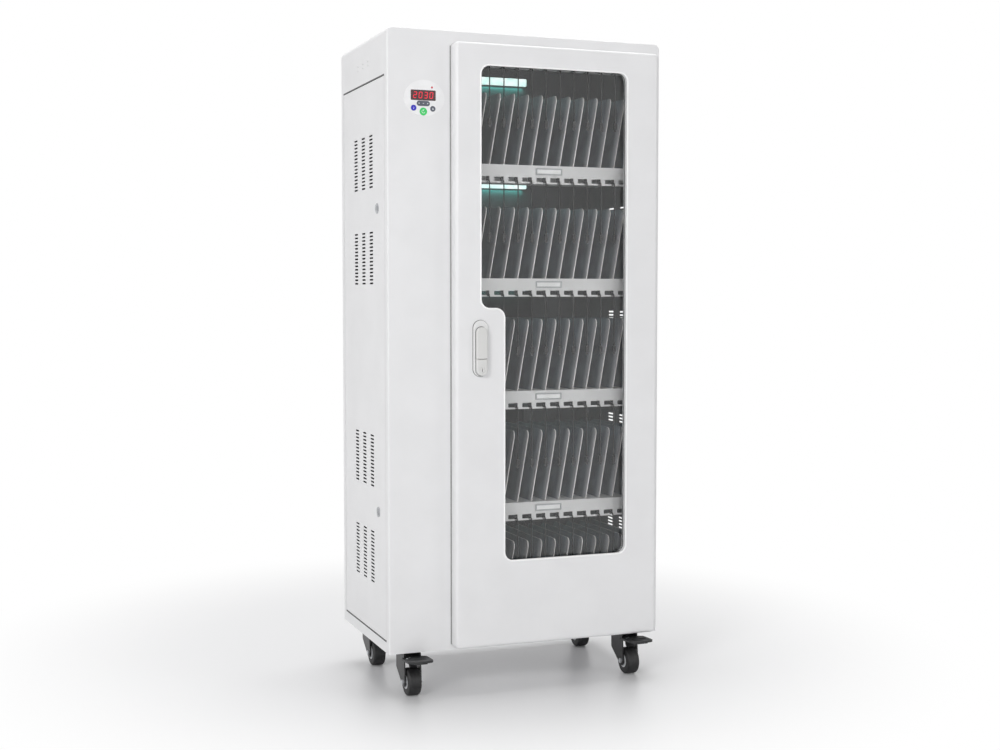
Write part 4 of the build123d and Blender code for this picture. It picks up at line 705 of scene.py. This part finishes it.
symbols = {
    "face": -2.5,
    "ringed": {   # where each stands, how its ring and its plate rise above that, and their sizes
        "power": {
            "x": 84.1, "z": 1217.0, "key": "power_button",
            "ringRise": 0.0, "radius": 3.6, "wire": 0.5, "sweep": 290.0,
            "plateRise": 2.6, "plate": (1.0, 0.4, 3.6), "edge": 0.15,
        },
        "light": {
            "x": 61.5, "z": 1224.4, "key": "light_button",
            "ringRise": 0.6, "radius": 1.25, "wire": 0.22, "sweep": 300.0,
            "plateRise": -1.7, "plate": (1.3, 0.3, 1.0), "edge": 0.1,
        },
        "lock": {
            "x": 106.3, "z": 1223.9, "key": "lock_button_panel",
            "ringRise": 0.8, "radius": 1.0, "wire": 0.2, "sweep": 300.0,
            "plateRise": -1.0, "plate": (2.8, 0.3, 2.1), "edge": 0.12,
        },
    },
    "rocker": {
        "x": 84.0, "z": 1234.85, "bar": (3.4, 0.3, 0.8), "edge": 0.1, "arrowRadius": 1.7, "arrowOut": 10.0,
    },
}


def makeRingedMarks():
    # a ring with a stroke or a plate: power, lamp and padlock
    face = symbols["face"]
    for name, mark in symbols["ringed"].items():
        spot = at(mark["x"], face, mark["z"] + mark["ringRise"])
        ring = addRing(name + "_ring", spot, mark["radius"], mark["wire"], mark["sweep"])
        spot = at(mark["x"], face, mark["z"] + mark["plateRise"])
        plate = addPlate(name + "_plate", spot, mark["plate"], mark["edge"])
        settle(joinAll(name + "_mark", [ring, plate]), "symbol", mark["key"])


def makeRockerMark():
    # a bar between two arrows that point away from it
    rocker = symbols["rocker"]
    x, face, z = rocker["x"], symbols["face"], rocker["z"]
    marks = [addPlate("rocker_bar", at(x, face, z), rocker["bar"], rocker["edge"])]
    for side in (-1.0, 1.0):
        deselectAll()
        bpy.ops.mesh.primitive_cylinder_add(
            vertices=3, radius=rocker["arrowRadius"] * mm, depth=rocker["bar"][1] * mm,
            location=at(x + side * rocker["arrowOut"], face, z),
            rotation=(math.pi / 2.0, side * math.pi / 2.0, 0.0),
        )
        marks.append(named("rocker_arrow"))
        bevelEdges(marks[-1], rocker["edge"])
    settle(joinAll("rocker_mark", marks), "symbol", "rocker_button")


makeRingedMarks()
makeRockerMark()
print("key symbols set")


# Cards in the label holders

cards = {"x": 395.25, "y": 18.6, "drop": 13.75, "width": 59.0, "height": 9.6, "thick": 0.6, "edge": 0.15}


def makeCards():
    size = (cards["width"], cards["thick"], cards["height"])
    for bay in range(1, leads["bays"] + 1):
        place = at(cards["x"], cards["y"], bayFloor(bay) - cards["drop"])
        settle(addPlate("label_card_%d" % bay, place, size, cards["edge"]), "card", "cabinet")


makeCards()
print("cards in their holders")


# White bead round the window, a painted highlight along its rounded edge

windowHighlight = {
    "turns": [
        (208.0, 1323.0), (571.0, 1323.0), (571.0, 201.5), (265.0, 201.5), (265.0, 778.5), (208.0, 778.5),
    ],
    "radius": 21.0, "bead": 2.0, "face": -34.4,
    "inward": 0.45, "outward": 1.5,   # a curve point's two handles, as shares of the radius from the turn
}


def makeWindowHighlight():
    # a white bead along the window's edge that stands in for its highlight, with a rounded corner at each
    # turn
    corners = [at(x, windowHighlight["face"], z) for x, z in windowHighlight["turns"]]
    curve = bpy.data.curves.new("window_highlight_bead", "CURVE")
    curve.dimensions = "3D"
    curve.bevel_depth = windowHighlight["bead"] * mm
    curve.bevel_resolution = 3
    curve.resolution_u = 8
    spline = curve.splines.new("BEZIER")
    spline.bezier_points.add(2 * len(corners) - 1)
    spline.use_cyclic_u = True
    for index, corner in enumerate(corners):   # two points at each turn, with the bend between them
        for side, other in enumerate((corners[index - 1], corners[(index + 1) % len(corners)])):
            away = (other - corner).normalized() * windowHighlight["radius"] * mm
            point = spline.bezier_points[2 * index + side]
            point.co = corner + away
            near, far = corner + away * windowHighlight["inward"], corner + away * windowHighlight["outward"]
            point.handle_left, point.handle_right = (near, far) if side else (far, near)
    piece = newObject("window_highlight_bead", curve)
    selectOnly([piece])
    bpy.ops.object.convert(target="MESH")
    settle(piece, "windowHighlight", "front_door")


makeWindowHighlight()
print("trim laid")


# Grey strip in the gap behind the door's free edge, a painted shadow line

doorGapShade = {"x": 147.7, "y": -1.0, "low": 12.0, "high": 1366.0, "width": 2.4, "thick": 1.8, "edge": 0.5}


def makeDoorGapShade():
    # a grey strip that paints the shadow in the gap beside the door's free edge
    middle = at(doorGapShade["x"], doorGapShade["y"], (doorGapShade["low"] + doorGapShade["high"]) / 2.0)
    size = (doorGapShade["width"], doorGapShade["thick"], doorGapShade["high"] - doorGapShade["low"])
    settle(addPlate("door_gap_shade", middle, size, doorGapShade["edge"]), "doorGapShade", "front_door")


makeDoorGapShade()
print("seal laid")


# Foam filters inside the sheet

filters = {
    "edge": 0.8,
    "pads": [   # middle and size of each
        ((410.0, 388.8, 820.0), (182.0, 3.0, 136.0)),    # inside the back panel's upper vent
        ((410.0, 388.8, 200.0), (182.0, 3.0, 136.0)),    # inside its lower vent
        ((410.0, 364.0, 1180.0), (116.0, 3.0, 116.0)),   # before the upper fan
        ((410.0, 364.0, 470.0), (116.0, 3.0, 116.0)),    # before the lower fan
        ((3.2, 196.0, 1340.2), (3.0, 104.0, 22.0)),      # inside the left side's six small holes
    ],
}


def makeFilters():
    pads = [addPlate("filter_pad", at(*middle), size, filters["edge"]) for middle, size in filters["pads"]]
    settle(joinAll("vent_filters", pads), "foam", "cabinet")


makeFilters()
print("filters laid")


# Dark ring under the handle seat, a painted shadow line round it

seatShadeLine = {
    "x": 206.4, "low": 625.5, "high": 752.5, "width": 35.0, "proud": 0.9, "thick": 0.9, "doorFace": -35.0,
    "sides": 64, "edge": 0.2,
    "sunk": 0.1,   # into the door, so that no gap shows
}


def makeSeatShadeLine():
    # a round disc, drawn out upwards into a long oval: a dark ring that paints the shadow line round the
    # seat
    width = seatShadeLine["width"] + 2.0 * seatShadeLine["proud"]
    deselectAll()
    bpy.ops.mesh.primitive_cylinder_add(
        vertices=seatShadeLine["sides"], radius=width / 2.0 * mm, depth=seatShadeLine["thick"] * mm,
        rotation=(math.pi / 2.0, 0.0, 0.0),
    )
    oval = named("handle_shade_line")
    bpy.ops.object.transform_apply(location=False, rotation=True, scale=False)
    bpy.ops.object.mode_set(mode="EDIT")
    bpy.ops.mesh.select_all(action="DESELECT")
    bpy.ops.object.mode_set(mode="OBJECT")
    for vertex in oval.data.vertices:   # the upper half moves up, and the sides between come out straight
        vertex.select = vertex.co.z > making["middleMm"] * mm
    bpy.ops.object.mode_set(mode="EDIT")
    bpy.ops.transform.translate(value=(0.0, 0.0, (seatShadeLine["high"] - seatShadeLine["low"] - seatShadeLine["width"]) * mm))
    bpy.ops.object.mode_set(mode="OBJECT")
    bevelEdges(oval, seatShadeLine["edge"])
    low = seatShadeLine["low"] + seatShadeLine["width"] / 2.0
    oval.location = at(seatShadeLine["x"], seatShadeLine["doorFace"] - seatShadeLine["thick"] / 2.0 + seatShadeLine["sunk"], low)
    # painted shadow line round the seat, in the gasket's dark rubber colour
    settle(oval, "gasket", "front_door")


makeSeatShadeLine()
print("washer laid")


# Screws, rivets and lights

fanScrews = {
    "x": 410.0, "heights": (1180.0, 470.0), "half": 52.5, "face": 394.0, "radius": 3.6, "rise": 1.1,
    "recess": (1.2, 0.28, 1.3),   # length and width as shares of the radius, depth as a share of the rise
}
pedalRivets = {
    "casters": {"left": (61.0, 50.0), "right": (609.0, 50.0)},
    "places": ((-21.0, -58.0), (-13.0, -50.0)),   # from the caster's kingpin
    "radius": 2.2, "rise": 1.2,
    "top": -10.2, "topAt": -50.0, "slope": 3.0,   # the pedal's height there, and how steeply it goes on
}
panelLight = {"x": 104.4, "z": 1270.9, "face": -1.6, "radius": 2.4, "rise": 0.8}
statusLights = {
    "x": 114.0, "y": 130.0, "firstRise": 32.0, "pitch": 12.5, "count": 6, "radius": 1.3, "rise": 0.8,
}


def makeFanScrews():
    # a domed head with a cross recess, pressed in by two cutters
    radius, rise = fanScrews["radius"], fanScrews["rise"]
    long, wide, deep = fanScrews["recess"]
    head = addDome("fan_screw", radius, rise)
    for turn in (0.0, math.pi / 2.0):
        deselectAll()
        bpy.ops.mesh.primitive_cube_add(size=1.0, location=(0.0, 0.0, rise * mm), rotation=(0.0, 0.0, turn))
        cutter = bpy.context.object
        cutter.scale = (radius * long * mm, radius * wide * mm, rise * deep * mm)
        modifier = head.modifiers.new("recess", "BOOLEAN")
        modifier.operation = "DIFFERENCE"
        modifier.object = cutter
        bpy.context.view_layer.objects.active = head
        bpy.ops.object.modifier_apply(modifier="recess")
        bpy.data.objects.remove(cutter)
    turned = Matrix.Rotation(-math.pi / 2.0, 4, "X")
    heads = []
    for height in fanScrews["heights"]:
        for sideX in (-1.0, 1.0):
            for sideZ in (-1.0, 1.0):
                x = fanScrews["x"] + sideX * fanScrews["half"]
                spot = at(x, fanScrews["face"], height + sideZ * fanScrews["half"])
                heads.append(copyTo(head, Matrix.Translation(spot) @ turned))
    bpy.data.objects.remove(head)
    settle(joinAll("fan_screws", heads), "zinc", "cabinet")


def makePedalRivets():
    head = addDome("pedal_rivet", pedalRivets["radius"], pedalRivets["rise"])
    slope = math.tan(math.radians(pedalRivets["slope"]))
    for side, (x, y) in pedalRivets["casters"].items():
        rivets = []
        for dx, dy in pedalRivets["places"]:
            top = pedalRivets["top"] + slope * (pedalRivets["topAt"] - dy)
            rivets.append(copyTo(head, Matrix.Translation(at(x + dx, y + dy, top))))
        settle(joinAll("pedal_rivets_" + side, rivets), "zinc", "pedal_" + side)
    bpy.data.objects.remove(head)


def makeStatusLights():
    head = addDome("status_light", statusLights["radius"], statusLights["rise"])
    turned = Matrix.Rotation(math.pi / 2.0, 4, "X")
    heads = []
    for bay in range(1, leads["bays"] + 1):
        for row in range(statusLights["count"]):
            z = bayFloor(bay) + statusLights["firstRise"] + row * statusLights["pitch"]
            spot = at(statusLights["x"], statusLights["y"], z)
            heads.append(copyTo(head, Matrix.Translation(spot) @ turned))
    bpy.data.objects.remove(head)
    settle(joinAll("status_lights", heads), "diodeGreen", "cabinet")


def makePanelLight():
    # the small red lamp above the display
    lamp = addDome("panel_light", panelLight["radius"], panelLight["rise"])
    spot = at(panelLight["x"], panelLight["face"], panelLight["z"])
    lamp.data.transform(Matrix.Translation(spot) @ Matrix.Rotation(math.pi / 2.0, 4, "X"))
    settle(lamp, "diodeRed", "cabinet")


makeFanScrews()
makePedalRivets()
makeStatusLights()
makePanelLight()
print("screws, rivets and lights set")


# Light, floor and background

white = (1.0, 1.0, 1.0, 1.0)
studio = {
    "lamps": {   # place and side in metres, power in watts
        "key": ((-3.4, -3.2, 2.2), 1.4, 76.0),
        "right": ((3.4, -3.2, 2.4), 1.4, 24.0),
        "top": ((0.3, 0.8, 4.2), 3.0, 85.0),
        "side": ((-4.2, 0.2, 1.6), 1.6, 13.0),
        "fill": ((-0.4, -4.4, 1.4), 1.8, 18.0),
    },
    "aim": (0.0, 0.0, 0.75),
    "sky": 0.36,
}
glow = {   # the lamp housings light the back wall of each bay
    "watts": 0.05, "colour": "#5fe6d8", "sides": (0.3, 0.012), "tip": 10.0,   # metres and degrees
    "x": 325.5, "y": 384.0, "rise": 229.0,
}
floorSet = {
    "size": 30.0, "colour": "#eeeeef", "roughness": 0.35,
    "middle": (0.0, 0.35, 0.0), "near": 0.5, "far": 1.35,   # the fade to white, in metres from its middle
}


def addLamp(name, place, sides, power):
    data = bpy.data.lights.new(name, "AREA")
    data.shape = "RECTANGLE"
    data.size, data.size_y = sides
    data.energy = power
    lamp = newObject(name, data)
    lamp.location = place
    return lamp


def makeLamps():
    for name, (place, side, power) in studio["lamps"].items():
        lamp = addLamp(name, place, (side, side), power)
        lamp.rotation_euler = (Vector(studio["aim"]) - Vector(place)).to_track_quat("-Z", "Y").to_euler()
    for bay in range(1, leads["bays"] + 1):
        place = at(glow["x"], glow["y"], bayFloor(bay) + glow["rise"])
        lamp = addLamp("bay_glow_%d" % bay, place, glow["sides"], glow["watts"])
        lamp.data.color = hexColour(glow["colour"])[:3]
        lamp.rotation_euler = (math.radians(glow["tip"]), 0.0, 0.0)


def seenRays(tree):
    # one for rays from the lens, through glass or off a shiny face, and zero for light that spreads
    path = addNode(tree, "LightPath")
    rays = {0: path.outputs["Is Camera Ray"], 1: path.outputs["Is Transmission Ray"]}
    either = addNode(tree, "Math", {"operation": "MAXIMUM"}, rays)
    return addNode(tree, "Math", {"operation": "MAXIMUM"}, {0: either, 1: path.outputs["Is Glossy Ray"]})


def makeSky():
    # white where it is seen, dimmer where it lights
    sky = bpy.data.worlds.new("sky")
    sky.use_nodes = True
    tree = sky.node_tree
    tree.nodes.clear()
    soft = addNode(tree, "Background", {"Color": white, "Strength": studio["sky"]})
    seen = addNode(tree, "Background", {"Color": white, "Strength": 1.0})
    mixed = addNode(tree, "MixShader", links={0: seenRays(tree), 1: soft, 2: seen})
    addNode(tree, "OutputWorld", links={"Surface": mixed})
    bpy.context.scene.world = sky


def makeFloor():
    # a pale satin floor that fades into the white behind it
    deselectAll()
    bpy.ops.mesh.primitive_plane_add(size=floorSet["size"])
    floor = named("floor")
    finish, tree, shader, place = newFinish("satinFloor", roughness=floorSet["roughness"])
    shader.inputs["Base Color"].default_value = hexColour(floorSet["colour"])
    apart = addNode(tree, "VectorMath", {"operation": "DISTANCE", 1: floorSet["middle"]}, {0: place})
    reach = {"From Min": floorSet["near"], "From Max": floorSet["far"], "interpolation_type": "SMOOTHSTEP"}
    fade = addNode(tree, "MapRange", reach, {"Value": apart.outputs["Value"]})
    seen = addNode(tree, "Math", {"operation": "MULTIPLY"}, {0: fade, 1: seenRays(tree)})
    light = addNode(tree, "Emission", {"Color": white, "Strength": 1.0})
    mixed = addNode(tree, "MixShader", links={0: seen, 1: shader, 2: light})
    output = [node for node in tree.nodes if node.type == "OUTPUT_MATERIAL"][0]
    tree.links.new(mixed.outputs[0], output.inputs["Surface"])
    floor.data.materials.append(finish)


makeLamps()
makeSky()
makeFloor()
bpy.context.scene.view_settings.view_transform = "Standard"
print("studio lit")
